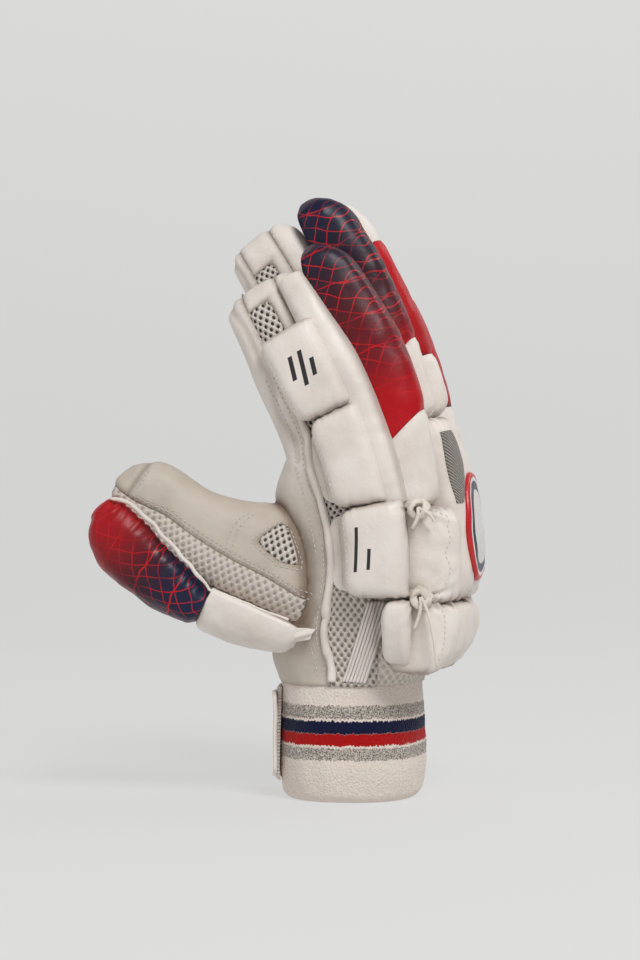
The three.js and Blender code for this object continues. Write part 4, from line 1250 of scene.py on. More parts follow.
# Columns: from, to, low, high
SIDE_PADS = {
    "index_side_pad_1": (0.576, 0.757, -0.465, -0.06),
    "index_side_pad_2": (0.37, 0.571, -0.41, -0.043),
    "index_side_pad_3": (0.18, 0.365, -0.375, 0.045),
    "index_side_end": (0.046, 0.175, -0.135, 0.06),
}
SIDE_OFF = -0.5


def side_reach(s):
    share = s / HAND_LENGTH
    body = table(BODY_ROWS, 3, share)
    rise = np.clip(1 + (share - STALL_START) / 0.07, 0, 1)
    return (body + (np.minimum(body, -0.5) - body) * rise**2 * (3 - 2 * rise)) * PALM_WIDTH


def side_form(name):
    start, stop, low, high = SIDE_PADS[name]
    start, stop = start * HAND_LENGTH, stop * HAND_LENGTH
    at = spaced(start, stop, 60)
    wall = ends(at, start, stop, (0.3, 13) if name == "index_side_end" else (0.66, 8), (0.66, 8))
    notch = 5.0 * (1 - ends(at, start, stop, (0, 9), (0, 9)))
    if name == "index_side_pad_1":
        notch = np.where(at > (start + stop) / 2, notch * 0.4, notch * 1.5)
    outer = side_reach(at) - SIDE_OFF
    crown = SIDE_PAD_DEPTH * wall
    form = loft(index_line, 0, at, low * BODY_DEPTH + notch, high * BODY_DEPTH + 0 * at, outer - crown,
                outer, dee(44, 4.2, side=True), (0.5, 0.5), 3)
    seed = int(start)
    away = form.lay[:, 2] - side_reach(form.lay[:, 0])
    amount = np.zeros(len(form.points))
    rng = np.random.default_rng(seed)
    s, t, _ = form.lay.T
    for distance in (s - start, stop - s):
        phase = rng.uniform(0, 6.28, 3)
        ridges = sum(np.sin(t * 2 * np.pi / (5.5 * k) + p) for k, p in zip((1, 1.7, 0.6), phase))
        amount += 0.16 * ridges * np.exp(-np.clip(distance, 0, None) / 3.5)
    amount += 0.2 * waves(form.points, 24, seed) + 0.05 * waves(form.points, 8, seed + 2)
    for i, point in enumerate(knot_points):
        amount += gather(form, point, 0.6, 9, 6, i + 5)
    form.push(amount * np.clip(-away / 3, 0, 1))
    ends_at = np.clip(np.minimum(s - start, stop - s), 0, None)
    form.shade = 0.5 * bell(ends_at / 1.4) + 0.45 * bell(away / 5)
    return form


# Columns: middle s and t, half length along s, half width, slant
MARKS = {
    "index_side_pad_1": [(162, -22, 5.5, 1.1, 0.25), (160, -17.5, 8, 1.1, 0.25), (158.5, -13, 4, 1.1, 0.25)],
    "index_side_pad_3": [(66, -19, 11, 0.8, 0.1), (61, -13.5, 5, 0.8, 0.1)],
}
for name in SIDE_PADS:
    look = leather(name + "_leather", marks=MARKS[name]) if name in MARKS else leather_white
    piece(name + "_padded", side_form(name), look, [name])


def welt_form():
    """The soft leather strip that closes the valley between the side pads and the index roll."""
    at = spaced(0.362 * HAND_LENGTH, 0.845 * HAND_LENGTH, 130)
    share = at / HAND_LENGTH
    low = table([(0.17, -8), (0.35, -9), (0.6, -11), (0.76, -13), (0.845, -12)], 1, share)
    high = table([(0.17, 3.5), (0.35, 5), (0.5, 4.5), (0.65, 5.5), (0.76, 3), (0.845, 1)], 1, share)
    deep = table([(0.36, 6), (0.38, 7.6), (0.4, 8.6), (0.43, 9), (0.6, 9), (0.74, 7), (0.845, 2)], 1, share)
    outer = side_reach(at) + 1.5
    form = loft(index_line, 0, at, low, high, outer - deep - 1.5, outer, dee(36, 2.5, side=True),
                (1.5, 2), 3)
    amount = 0.3 * waves(form.points, 20, 91) + 0.1 * waves(form.points, 7, 92)
    s, t, w = form.lay.T
    form.push(amount * np.clip((side_reach(s) - w) / 3, 0, 1))
    form.shade = 0.5 * bell((np.interp(s, at, high) - 0.6 - t) / 1.3)
    return form


white_piece("index_side_welt_padded", welt_form())


GUARD_CROWN = [(0, 0.66), (0.15, 0.88), (0.32, 1.02), (0.45, 1.04)]
CAP_FROM = 0.42


def guard_form():
    start, stop = 4.5, CAP_FROM * THUMB_LENGTH - SEAM_GAP / 2
    at = spaced(start, stop, 64)
    u = np.clip((at - start) / (0.09 * THUMB_LENGTH), 0, 1)
    dome = [(0, -0.14, 0.66, 0.9), (0.16, -0.2, 0.84, 0.96), (0.5, -0.22, 0.96, 1), (1, -0.22, 1, 1)]
    lift, thick, wide = [table(dome, c, u) for c in (1, 2, 3)]
    wall = ends(at, start, stop, (1, 1), (0.8, 5))
    high = GUARD_HEIGHT * table(GUARD_CROWN, 1, at / THUMB_LENGTH)
    half = (THUMB_WIDTH + CAP_SIDE) / 2 * wide
    form = loft(thumb_line, 0, at, GAP + high * lift, high * np.minimum(thick, wall), -half, half,
                dee(44, 2.6), (1.5, 0.5), 4)
    amount = 0.3 * waves(form.points, 18, 31) + 0.1 * waves(form.points, 7, 32)
    form.push(amount * np.clip(form.lay[:, 1] / 3, 0, 1))
    return form


CAP_ROWS = [
    (0.42, -0.03, 0.76, 0.93),
    (0.45, -0.06, 0.91, 0.99),
    (0.55, -0.13, 1, 1),
    (0.66, -0.18, 1.05, 1),
    (0.78, -0.2, 1.08, 1),
    (0.88, -0.19, 0.93, 0.97),
    (0.935, -0.15, 0.68, 0.9),
    (0.96, -0.1, 0.42, 0.78),
]


def cap_form():
    at = spaced(CAP_FROM * THUMB_LENGTH, 0.96 * THUMB_LENGTH, 80)
    low, high, wide = [table(CAP_ROWS, c, at / THUMB_LENGTH) for c in (1, 2, 3)]
    half = (THUMB_WIDTH / 2 + CAP_SIDE) * wide
    form = loft(thumb_line, 0, at, low * THUMB_DEPTH, high * CAP_HEIGHT, -half, half, oval(72, 2.7),
                (0.5, 2.5), 6)
    s, t, _ = form.lay.T
    edge = table(CAP_ROWS, 1, s / THUMB_LENGTH) * THUMB_DEPTH
    gathered = np.sin(s * 2 * np.pi / 4.1 + 0.8 * waves(form.points, 12, 8))
    gathered = gathered + 0.6 * np.sin(s * 2 * np.pi / 5.6 + 1)
    amount = 0.5 * gathered * np.exp(-np.clip(t - edge, 0, None) / 7)
    amount += 0.25 * waves(form.points, 15, 41) + 0.1 * waves(form.points, 6, 42)
    form.push(amount)
    return form


glossy["thumb"] = printed_look(
    "thumb_print", 0.42 * THUMB_LENGTH, 0.98 * THUMB_LENGTH,
    [(0, rgb(20, 30, 62)), (0.26, rgb(24, 28, 54)), (0.46, rgb(66, 22, 34)), (0.7, rgb(138, 14, 24)),
     (1, rgb(172, 12, 24))], LATTICE)
white_piece("thumb_guard_padded", guard_form(), ["thumb_guard"])
piece("thumb_cap_padded", cap_form(), glossy["thumb"], ["thumb_cap"])


# Cuff, strap and tab
def cuff_reach(z):
    return table([(0, -0.035), (0.07, 0), (0.25, 0.018), (1, 0)], 1, z / CUFF_HEIGHT) * CUFF_DEPTH


def cuff_point(z, angle, out):
    """A place on the cuff: out is the distance outside its face."""
    reach = cuff_reach(z) + out
    x = power(np.cos(angle), CUFF_POWER) * (CUFF_DEPTH / 2 + reach)
    y = power(np.sin(angle), CUFF_POWER) * (CUFF_WIDTH / 2 + reach)
    return np.stack(np.broadcast_arrays(x, y, z), -1)


def wrapped(points, lay, closed_rows=True):
    """Faces between rings of points: each ring closes, and so does the loop of rings if asked."""
    rings, n = points.shape[:2]
    faces = []
    for r in range(rings if closed_rows else rings - 1):
        k = (r + 1) % rings
        for i in range(n):
            j = (i + 1) % n
            faces.append((r * n + i, r * n + j, k * n + j, k * n + i))
    return Form(points.reshape(-1, 3), faces, lay.reshape(-1, 3))


def cuff_form():
    a = np.linspace(0, 2 * np.pi, 360, endpoint=False)
    bend = np.linspace(0, np.pi, 6)[1:-1]
    outer = [(z, 0) for z in np.linspace(1.5, CUFF_HEIGHT - 1.5, 96)]
    top = [(CUFF_HEIGHT - 1.5 + 1.5 * math.sin(b), -1.5 + 1.5 * math.cos(b)) for b in bend]
    inner = [(z, -CUFF_WALL) for z in np.linspace(CUFF_HEIGHT - 1.5, 1.5, 24)]
    foot = [(1.5 - 1.5 * math.sin(b), -1.5 - 1.5 * math.cos(b)) for b in bend]
    section = outer + top + inner + foot
    points, lay = [], []
    arc = a * (CUFF_DEPTH + CUFF_WIDTH) / 4
    for z, out in section:
        points.append(cuff_point(z, a, out))
        lay.append(np.stack([np.full_like(a, z), arc, np.full_like(a, out)], 1))
    form = wrapped(np.array(points), np.array(lay))
    z, arc, out = form.lay.T
    loops = np.sin(arc * 2 * np.pi / 1.25) * np.sin(z * 2 * np.pi / 1.7)
    soft = 0.45 * waves(form.points, 26, 61) + 0.18 * waves(form.points, 10, 62)
    fuzz = 0.1 * waves(form.points, 1.9, 63) + 0.07 * loops
    form.push(np.where(out > -1, (soft + fuzz) * np.clip(z / 4, 0, 1), 0))
    return form


def knit():
    """Towelling: a pile of small loops, with jagged stripes."""
    look = Look("cuff_towelling", Sheen_Weight=0.08, Sheen_Roughness=0.6, Specular_IOR_Level=0.1)
    z, arc, _ = look.split(look.lay())
    fuzz = look.noise(900.0, 3.0, rough=0.7)
    loops = look.cells(1000.0)
    zigzag = look.math("PINGPONG", arc, 0.8)
    ragged = look.times(look.minus(look.noise(500.0, 1.0), 0.5), 2.0)
    z = look.plus(look.plus(z, ragged), look.times(zigzag, 0.7))
    white = look.mix(fuzz, rgb(238, 226, 215), rgb(216, 203, 193))
    speck = look.noise(1700.0, 2.0, rough=0.7)
    grey = look.mix(look.step(speck, 0.44, 0.58), rgb(204, 194, 184), rgb(104, 99, 94))
    navy = look.mix(fuzz, rgb(20, 26, 64), rgb(12, 16, 42))
    red = look.mix(fuzz, rgb(190, 18, 16), rgb(150, 10, 12))
    colour = white
    for low, high, tone in ((19.8, 25.4, grey), (26.6, 32.0, red), (32.0, 37.8, navy), (39.0, 45.0, grey)):
        inside = look.times(look.step(z, low, low + 0.5), look.step(z, high + 0.5, high))
        colour = look.mix(inside, colour, tone)
    look.colour(colour)
    look.rough(look.step(fuzz, 0.2, 0.8, 0.85, 1.0))
    look.bump((loops, 0.4), (fuzz, 0.25))
    return look.material


def slab(points, lay, thickness, sink=0.0):
    """A closed slab on a grid of points: it stands thickness out from them."""
    rows, columns = points.shape[:2]
    along = np.gradient(points, axis=0)
    over = np.gradient(points, axis=1)
    normal = np.cross(along, over)
    normal /= np.linalg.norm(normal, axis=2)[..., None]
    rim = np.zeros((rows, columns))
    rim[0], rim[-1], rim[:, 0], rim[:, -1] = 1, 1, 1, 1
    top = points + normal * (thickness * (1 - 0.45 * rim))[..., None]
    foot = points - normal * sink
    faces = []
    n = rows * columns
    for r in range(rows - 1):
        for c in range(columns - 1):
            i = r * columns + c
            faces.append((i, i + 1, i + columns + 1, i + columns))
            faces.append((n + i, n + i + columns, n + i + columns + 1, n + i + 1))
    loop = [c for c in range(columns)] + [r * columns + columns - 1 for r in range(1, rows)]
    loop += [(rows - 1) * columns + c for c in range(columns - 2, -1, -1)]
    loop += [r * columns for r in range(rows - 2, 0, -1)]
    for i, j in zip(loop, loop[1:] + loop[:1]):
        faces.append((i, n + i, n + j, j))
    both = np.concatenate([top.reshape(-1, 3), foot.reshape(-1, 3)])
    return Form(both, faces, np.concatenate([lay.reshape(-1, 3)] * 2))


def taped(name, tint, shade, ribs, axis):
    """Woven tape with ribs along it."""
    look = Look(name, Sheen_Weight=0.2, Sheen_Roughness=0.5, Specular_IOR_Level=0.25)
    lay = look.split(look.lay())
    thread = look.noise(1300.0, 2.0)
    rib = look.math("SINE", look.times(lay[axis], 2 * math.pi / ribs))
    shadow = look.step(rib, -1.0, 0.3, 0.7, 0.0)
    look.colour(look.mix(look.plus(look.times(thread, 0.3), shadow), tint, shade))
    look.rough(look.step(thread, 0.2, 0.8, 0.67, 0.87))
    look.bump((rib, 0.2), (thread, 0.12))
    return look.material


piece("wrist_cuff_knit", cuff_form(), knit(), ["wrist_cuff"])
STRAP_FOOT = (CUFF_HEIGHT - STRAP_WIDTH) * 0.75


def band_form():
    """The strap round the palm side of the wrist."""
    a = np.linspace(0, 2 * np.pi, 721)
    ring = cuff_point(30.0, a, 0.9)
    held = (ring[:, 0] < -0.15 * CUFF_DEPTH) & (ring[:, 1] > -0.27 * CUFF_WIDTH)
    a = a[held][::3]
    z = np.linspace(STRAP_FOOT, STRAP_FOOT + STRAP_WIDTH, 45)
    grid = np.array([cuff_point(level, a, 0.7) for level in z])
    step = np.linalg.norm(np.diff(grid[0], axis=0), axis=1)
    run = np.concatenate([[0], np.cumsum(step)])
    lay = np.stack(np.broadcast_arrays(run[None, :], z[:, None], 0 * run[None, :]), -1)
    return slab(grid, lay, -STRAP_THICKNESS), run[-1]


def tab_form():
    """The tab that closes the strap: its free end stands off and curls a little."""
    rows = [(0.14, -0.49), (0, -0.5), (-0.14, -0.495), (-0.27, -0.47), (-0.37, -0.425)]
    y = np.linspace(0.14, -0.37, 40) * CUFF_WIDTH
    share = (0.14 * CUFF_WIDTH - y) / (0.51 * CUFF_WIDTH)
    deep = table([(-w, d) for w, d in rows], 1, -y / CUFF_WIDTH) * CUFF_DEPTH
    off = STRAP_THICKNESS + 2 * GAP + TAB_LIFT * 0.7 * np.clip(share - 0.55, 0, 1) / 0.45
    height = 0.9 * STRAP_WIDTH
    foot = STRAP_FOOT + (STRAP_WIDTH - height) / 2
    v = np.linspace(0, 1, 44)
    curl = 1.0 * np.abs(v - 0.5)[:, None] ** 2 * np.clip(share - 0.5, 0, 1)[None, :] * 4
    ripple = 0.35 * np.sin(v * 9 + 1)[:, None] * np.clip(share - 0.4, 0, 1)[None, :]
    x = deep[None, :] - off[None, :] - curl + ripple
    z = foot + height * v[:, None] + 0 * x
    round_end = 3.2 * np.clip((share - 0.9) / 0.1, 0, 1) ** 2
    z = z + round_end[None, :] * (0.5 - v[:, None]) * 2
    grid = np.stack(np.broadcast_arrays(x, y[None, :], z), -1)
    lay = np.stack(np.broadcast_arrays(-y[None, :], z, 0 * z), -1)
    return slab(grid, lay, STRAP_THICKNESS)


band, band_length = band_form()
strap = piece("wrist_strap_band", band, taped("elastic", rgb(232, 224, 218), rgb(204, 193, 186), 1.6, 1),
              ["wrist_strap"])
white_piece("strap_tab_leather", tab_form(), ["strap_tab"])


# Trim on the index side
def side_w(s, t):
    """Where the index side of the hand lies at s along and t above its line."""
    low, high, left, right = body_ring(s)
    hand = (left + right) / 2 - (right - left) / 2 * bow(t, low, high, 0.995)
    hand = np.where(s > 0.545 * HAND_LENGTH, 0, hand)
    low, high, _, right = stall_ring("index", s)
    own = FINGERS["index"][0] * PITCH - right * bow(t, low, high, 0.995)
    own = np.where(s < STALL_START * HAND_LENGTH, 0, own)
    return np.minimum(hand, own)


def index_side(s, t):
    """Places on the hand's index side."""
    return index_line.place(s, t, side_w(s, t))


def tube(path, radius, sides, ribs=0.0, phase=0.0, flat=0.0):
    """A closed round cord along a path."""
    path = np.asarray(path, float)
    radius = np.broadcast_to(radius, len(path))
    ahead = np.gradient(path, axis=0)
    ahead /= np.linalg.norm(ahead, axis=1)[:, None]
    up = np.array([0.31, 0.2, 0.93])
    rings, lay = [], []
    run = np.concatenate([[0], np.cumsum(np.linalg.norm(np.diff(path, axis=0), axis=1))])
    a = np.arange(sides) / sides * 2 * np.pi
    for p, d, r, s in zip(path, ahead, radius, run):
        up = up - d * (up @ d)
        up /= np.linalg.norm(up)
        side = np.cross(d, up)
        swell = r * (1 + ribs * np.sin(a * 2 + s * 2.2 + phase)) * (1 - flat * np.cos(a) ** 2)
        x, y = (np.cos(a) * swell)[:, None], (np.sin(a) * swell)[:, None]
        rings.append(p + x * up + y * side)
        lay.append(np.stack([np.full(sides, s), a * r, a * 0], 1))
    form = wrapped(np.array(rings), np.array(lay), False)
    n = len(form.points)
    points = np.concatenate([form.points, [path[0], path[-1]]])
    lay = np.concatenate([form.lay, form.lay[[0, -1]]])
    faces = form.faces + [((i + 1) % sides, i, n) for i in range(sides)]
    faces += [(n - sides + i, n - sides + (i + 1) % sides, n + 1) for i in range(sides)]
    return Form(points, faces, lay)


def on_skin(points):
    """The nearest places on the skin, and its normals there."""
    found = [skin_tree.find_nearest(Vector(p)) for p in points]
    place = np.array([tuple(f[0]) for f in found])
    normal = np.array([tuple(f[1]) for f in found])
    return place, normal


def smoothed(path):
    for _ in range(3):
        path[1:-1] = path[1:-1] * 0.5 + (path[:-2] + path[2:]) * 0.25
    return path


s = np.linspace(0.9, 0.74 * HAND_LENGTH, 180)
path, normal = on_skin(index_side(s, palm_edge(s) + 0.4))
wobble = waves(path, 16, 71)[:, None] * 0.45
path = smoothed(path + normal * (1.0 + wobble))
white_piece("palm_piping_roll", tube(path, 1.95 + 0.25 * waves(path, 9, 72), 14), ["palm_piping"])


# The tape spans TAPE_WIDTH in the side view
TAPE_WIDTH = 11.0


def tape_form():
    s = np.linspace(1.6, SIDE_PADS["index_side_end"][1] * HAND_LENGTH - SEAM_GAP, 60)
    low = table([(0, -0.42), (0.172, -0.245)], 1, s / HAND_LENGTH) * BODY_DEPTH
    v = np.linspace(0, 1, 37)
    t = low[:, None] + TAPE_WIDTH * v[None, :]
    s = s[:, None] + 0 * t
    grid = index_side(s, t)
    flat, normal = on_skin(grid.reshape(-1, 3))
    ribs = 0.14 * np.sin(v * 2 * np.pi * 7)
    flat = flat.reshape(grid.shape) + normal.reshape(grid.shape) * (0.35 + ribs)[None, :, None]
    return slab(flat, np.stack(np.broadcast_arrays(s, TAPE_WIDTH * v[None, :], t), -1), -0.9, 0.3)


tape = piece("side_tape_ribbed", tape_form(),
             taped("ribbed_tape", rgb(230, 220, 214), rgb(214, 202, 195), TAPE_WIDTH / 7, 1),
             ["side_tape"])


def flange_form(name):
    """The pad's sewn edge, flat on the glove between the pad and the palm's piping."""
    start, stop, low, _ = SIDE_PADS[name]
    start, stop = start * HAND_LENGTH, stop * HAND_LENGTH
    s = np.linspace(start + 2.5, stop - 2.5, 60)
    foot = palm_edge(s) + 1.2
    open_ends = 5.5 * (1 - ends(s, start + 2.5, stop - 2.5, (0, 11), (0, 11)))
    top = low * BODY_DEPTH + 2.5
    foot = np.minimum(foot + open_ends * 1.3, top - 0.6)
    v = np.linspace(0, 1, 12)
    t = foot[:, None] * (1 - v) + top * v
    s = s[:, None] + 0 * t
    grid = index_side(s, t)
    flat, normal = on_skin(grid.reshape(-1, 3))
    lift = 0.5 + 0.1 * waves(flat, 9, int(start))
    flat = (flat + normal * lift[:, None]).reshape(grid.shape)
    return slab(flat, np.stack([s, t, 0 * t], -1), -0.9, 0.8)


for name in ("index_side_pad_2", "index_side_pad_3"):
    white_piece(name + "_flange", flange_form(name))


# Badge and patch on the back
centre_pad = bpy.data.objects["centre_pad_upper_padded"]
pad_points = np.array([v.co for v in centre_pad.data.vertices])
pad_tree = BVHTree.FromPolygons(
    ((pad_points - ORIGIN) / MM).tolist(), [tuple(f.vertices) for f in centre_pad.data.polygons]
)


def on_pad(s, w, lift):
    """Places on the centre pad, under points above the hand's line."""
    s, w = np.broadcast_arrays(s, w)
    start = hand_line.place(s, 50.0, w)
    down = hand_line.place(s, 0.0, w) - start
    out = []
    for p, d in zip(start.reshape(-1, 3), down.reshape(-1, 3)):
        d = d / np.linalg.norm(d)
        hit = pad_tree.ray_cast(Vector(p), Vector(d))[0]
        out.append((np.array(hit) if hit else p + d * 25) - d * lift)
    return np.array(out).reshape(start.shape)


def badge_form():
    around, rings = 72, 20
    a = np.arange(around) / around * 2 * np.pi
    centre = 0.3 * HAND_LENGTH
    shares = np.concatenate([np.linspace(0.02, 0.93, rings), [0.965, 0.99, 1.0, 1.0]])
    rise = np.concatenate([2.0 + 0.25 * (1 - np.linspace(0, 1, rings) ** 2), [1.85, 1.4, 0.6, -0.4]])
    rise[:rings] -= 0.3 * bell((np.linspace(0.02, 0.93, rings) - 0.8) / 0.03)
    points, lay = [], []
    for share, lift in zip(shares, rise):
        s = centre + 23 * share * np.cos(a)
        w = 16 * share * np.sin(a)
        points.append(on_pad(s, w, lift))
        lay.append(np.stack([s - centre, w, np.full(around, share)], 1))
    form = wrapped(np.array(points), np.array(lay), False)
    top = points[0].mean(0)
    foot = points[-1].mean(0)
    n = len(form.points)
    faces = form.faces + [(i, (i + 1) % around, n) for i in range(around)]
    base = n - around
    faces += [(base + (i + 1) % around, base + i, n + 1) for i in range(around)]
    lay = np.concatenate([form.lay, [[0, 0, 0], [0, 0, 1]]])
    return Form(np.concatenate([form.points, [top, foot]]), faces, lay)


def badge_look():
    look = Look("badge_rubber", Coat_Weight=0.3, Coat_Roughness=0.25)
    share = look.split(look.lay())[2]
    speck = look.noise(500.0, 3.0)
    colour = look.mix(speck, rgb(222, 218, 214), rgb(202, 198, 196))
    for low, high, tone in ((0.68, 0.84, NAVY), (0.91, 1.1, RED)):
        inside = look.times(look.step(share, low - 0.01, low), look.step(share, high, high - 0.01))
        colour = look.mix(inside, colour, tone)
    look.colour(colour)
    look.rough(look.step(speck, 0.3, 0.7, 0.34, 0.46))
    look.bump((speck, 0.06))
    return look.material


def patch_form():
    s = np.linspace(0.345, 0.474, 44) * HAND_LENGTH
    right = table([(0.345, -0.68), (0.38, -0.5), (0.43, -0.4), (0.474, -0.55)], 1, s / HAND_LENGTH) * PITCH
    v = np.linspace(0, 1, 14)
    w = -0.83 * PITCH * (1 - v) + right[:, None] * v
    s = s[:, None] + 0 * w
    return slab(on_pad(s, w, 0.1), np.stack([s, w, 0 * w], -1), 1.2, 0.6)


def patch_look():
    """Grey cloth with slanted ribs."""
    look = Look("hatched_cloth", Sheen_Weight=0.2)
    s, w, _ = look.split(look.lay())
    wobble = look.times(look.noise(300.0, 2.0), 0.8)
    slant = look.plus(look.plus(s, look.times(w, 1.4)), wobble)
    rib = look.math("SINE", look.times(slant, 2 * math.pi / 1.5))
    fine = look.noise(1400.0, 2.0)
    share = look.plus(look.step(rib, -0.6, 0.6, 0.0, 0.75), look.times(fine, 0.25))
    look.colour(look.mix(share, rgb(96, 92, 88), rgb(166, 160, 152)))
    look.rough(look.step(fine, 0.2, 0.8, 0.55, 0.75))
    look.bump((rib, 0.25), (fine, 0.08))
    return look.material


piece("back_badge_oval", badge_form(), badge_look(), ["back_badge"])
piece("back_trim_patch", patch_form(), patch_look(), ["back_trim"])


# Knots: a few turns of leather lace, with two short ends
def knot_form(centre, seed, drop):
    rng = np.random.default_rng(seed)
    out = np.array([0.1, -1, 0.1])
    form = None
    u = np.linspace(0, 1, 26)[:, None]
    a = u * 2 * np.pi
    for k in range(3):
        tilt = rng.uniform(-0.6, 0.6)
        x = np.cos(a + k) * (4.3 - 0.6 * k)
        z = np.sin(a + k) * (2.9 + 0.5 * k)
        x, z = x * math.cos(tilt) - z * math.sin(tilt), x * math.sin(tilt) + z * math.cos(tilt)
        y = 1.2 * np.sin(2 * a + k) - 0.6 * k
        ring = centre + x * np.array([1.0, 0, 0]) + z * np.array([0, 0, 1.0]) + y * np.array([0, 1.0, 0])
        part = tube(ring, 1.9, 10, 0.12, k, 0.5)
        form = part if form is None else form + part
    for x, z in drop:
        path = centre + out * 2.2 + np.concatenate(
            [x * u + 1.5 * np.sin(u * 3), -0.6 * np.sin(u * np.pi), z * u**1.3], 1
        )
        form += tube(path, 1.5 - 0.4 * u[:, 0], 10, 0.08, 0, 0.5)
    return form


lace = leather("lace_leather", rgb(226, 217, 205), rgb(204, 192, 178), 0.6)
drops = {"tie_upper": [(7, -6), (-3, -9)], "tie_lower": [(7, -31), (-3, -14)]}
for i, ((name, _, _), point) in enumerate(zip(KNOT_PLACES, knot_points)):
    shift = point + np.array([0, -1.0, 0])
    piece(name + "_knot", knot_form(shift, 80 + i, drops[name]), lace, [name])


# Stitches: millimetres of each, from one to the next, and of the thread's radius
STITCH_LONG = 1.5
STITCH_STEP = 2.5
THREAD_RADIUS = 0.21
# Across the thumb, outside its index side: the nearest skin is below a place there
THUMB_BESIDE = 17.0


def stitch_rows(name, rows):
    """Short threads along paths: a row is points and the surface's normals."""
    parts = []
    rise = np.array([-0.29, 0.16, 0.28, 0.16, -0.29])[:, None]
    radius = THREAD_RADIUS * np.array([0.8, 1, 1, 1, 0.8])
    for path, normals in rows:
        run = np.concatenate([[0], np.cumsum(np.linalg.norm(np.diff(path, axis=0), axis=1))])
        for start in np.arange(0.6, run[-1] - STITCH_LONG, STITCH_STEP):
            at = start + np.linspace(0, 1, 5) * STITCH_LONG
            p = np.stack([np.interp(at, run, path[:, k]) for k in range(3)], 1)
            n = np.stack([np.interp(at, run, normals[:, k]) for k in range(3)], 1)
            n /= np.linalg.norm(n, axis=1)[:, None]
            parts.append(tube(p + n * rise, radius, 6))
    points = np.concatenate([p.points for p in parts])
    lay = np.concatenate([p.lay for p in parts])
    faces, base = [], 0
    for p in parts:
        faces += [tuple(i + base for i in f) for f in p.faces]
        base += len(p.points)
    piece(name, Form(points, faces, lay), thread)


def thread_look(name, tint, shade):
    look = Look(name, Sheen_Weight=0.3, Specular_IOR_Level=0.3)
    run, around, _ = look.split(look.lay())
    twist = look.math("SINE", look.times(look.plus(run, around), 9.0))
    look.colour(look.mix(look.step(twist, -0.5, 0.8), shade, tint))
    look.rough(look.step(twist, -1.0, 1.0, 0.7, 0.55))
    look.bump((twist, 0.05))
    return look.material


thread = thread_look("thread", rgb(238, 231, 223), rgb(206, 197, 188))


def palm_rows():
    """Two rows beside the palm's piping, without the parts that the thumb hides."""
    kept = []
    s = np.linspace(3, 0.7 * HAND_LENGTH, 150)
    for offset in (-3.2, -7.0):
        path, normals = on_skin(index_side(s, palm_edge(s) + offset))
        off = thumb_field(path) < -2
        for part in np.split(np.arange(len(path)), np.nonzero(np.diff(off.astype(int)))[0] + 1):
            if off[part[0]] and len(part) > 6:
                kept.append((path[part], normals[part]))
    return kept


def thumb_rows():
    """Rows along the thumb's edge, across it, round its window and at its tip."""
    lines = []
    s = np.linspace(6, 0.93 * THUMB_LENGTH, 90)
    for offset in (-1.6, -3.6):
        lines.append((s, thumb_edge(s) + offset))
    t = np.linspace(-0.8, -0.34, 40) * THUMB_DEPTH
    for across in (0.405, 0.435):
        lines.append(((across + 0.03 * np.sin(np.linspace(0, np.pi, 40))) * THUMB_LENGTH, t))
    ring = np.array(VENT) * (THUMB_LENGTH, THUMB_DEPTH)
    middle = ring.mean(0)
    ring = middle + (np.concatenate([ring, ring[:1]]) - middle) * 1.2
    u = np.linspace(0, len(ring) - 1, 90)
    lines.append([np.interp(u, np.arange(len(ring)), ring[:, k]) for k in (0, 1)])
    t = np.linspace(-0.54, -0.3, 40) * THUMB_DEPTH
    for offset in (-1.3, 1.3):
        lines.append((thumb_tip_seam(t) + offset, t))
    return [on_skin(thumb_line.place(s, t, THUMB_BESIDE)) for s, t in lines]


stitch_rows("palm_stitches", palm_rows())
stitch_rows("thumb_stitches", thumb_rows())

# White piping along the upper edge of the thumb's cap
s = np.linspace(0.09, 0.965, 200) * THUMB_LENGTH
edge = table([(0.09, -0.07), (0.4, -0.055)] + [row[:2] for row in CAP_ROWS], 1, s / THUMB_LENGTH)
beside = table([(0, 0.9), (0.4, 0.9), (0.5, 2.2), (0.9, 2.0), (1, 0.5)], 1, s / THUMB_LENGTH)
path = thumb_line.place(s, edge * THUMB_DEPTH - 0.2, thumb_ring(s)[3] + beside)
path = smoothed(path + 0.25 * waves(path, 8, 95)[:, None])
radius = table([(0, 0.5), (0.4, 0.6), (0.5, 0.95), (0.9, 0.95), (1, 0.7)], 1, s / THUMB_LENGTH)
white_piece("cap_piping_roll", tube(path, radius + 0.1 * waves(path, 5, 96), 12))

# A fold of leather where the guard ends
u, v = np.meshgrid(np.linspace(0, 1, 26), np.linspace(0, 1, 16), indexing="ij")
corners = [thumb_line.place(*place) for place in
           ((8, -1.5, 16), (6.5, 6, 14), (-2.5, -5, 15.5), (-2, 0.5, 15))]
leaf = sum(c * k[..., None] for c, k in zip(corners, ((1 - u) * (1 - v), (1 - u) * v, u * (1 - v), u * v)))
rise = 1.8 * np.sin(math.pi * v) * (1 - 0.4 * u) + 0.5 * np.sin(v * 9 + u * 5)
leaf[..., 1] -= rise * np.clip(u * 4, 0, 1)
white_piece("guard_fold", slab(leaf, np.stack([u, v, 0 * u], -1), 0.9))


# Stitches on the pads, found by rays
def tree_of(*names):
    points, faces = [], []
    for name in names:
        data = bpy.data.objects[name].data
        base = len(points)
        points += [(np.array(v.co) - ORIGIN) / MM for v in data.vertices]
        faces += [tuple(i + base for i in f.vertices) for f in data.polygons]
    return BVHTree.FromPolygons([tuple(p) for p in points], faces)


def cast(tree, starts, aims):
    """Where rays from starts towards aims meet the tree, and the normals there."""
    place, normals = [], []
    for p, q in zip(starts, aims):
        hit, normal, _, _ = tree.ray_cast(Vector(p), Vector(q - p).normalized())
        if hit is not None:
            place.append(tuple(hit))
            normals.append(tuple(normal))
    return np.array(place), np.array(normals)


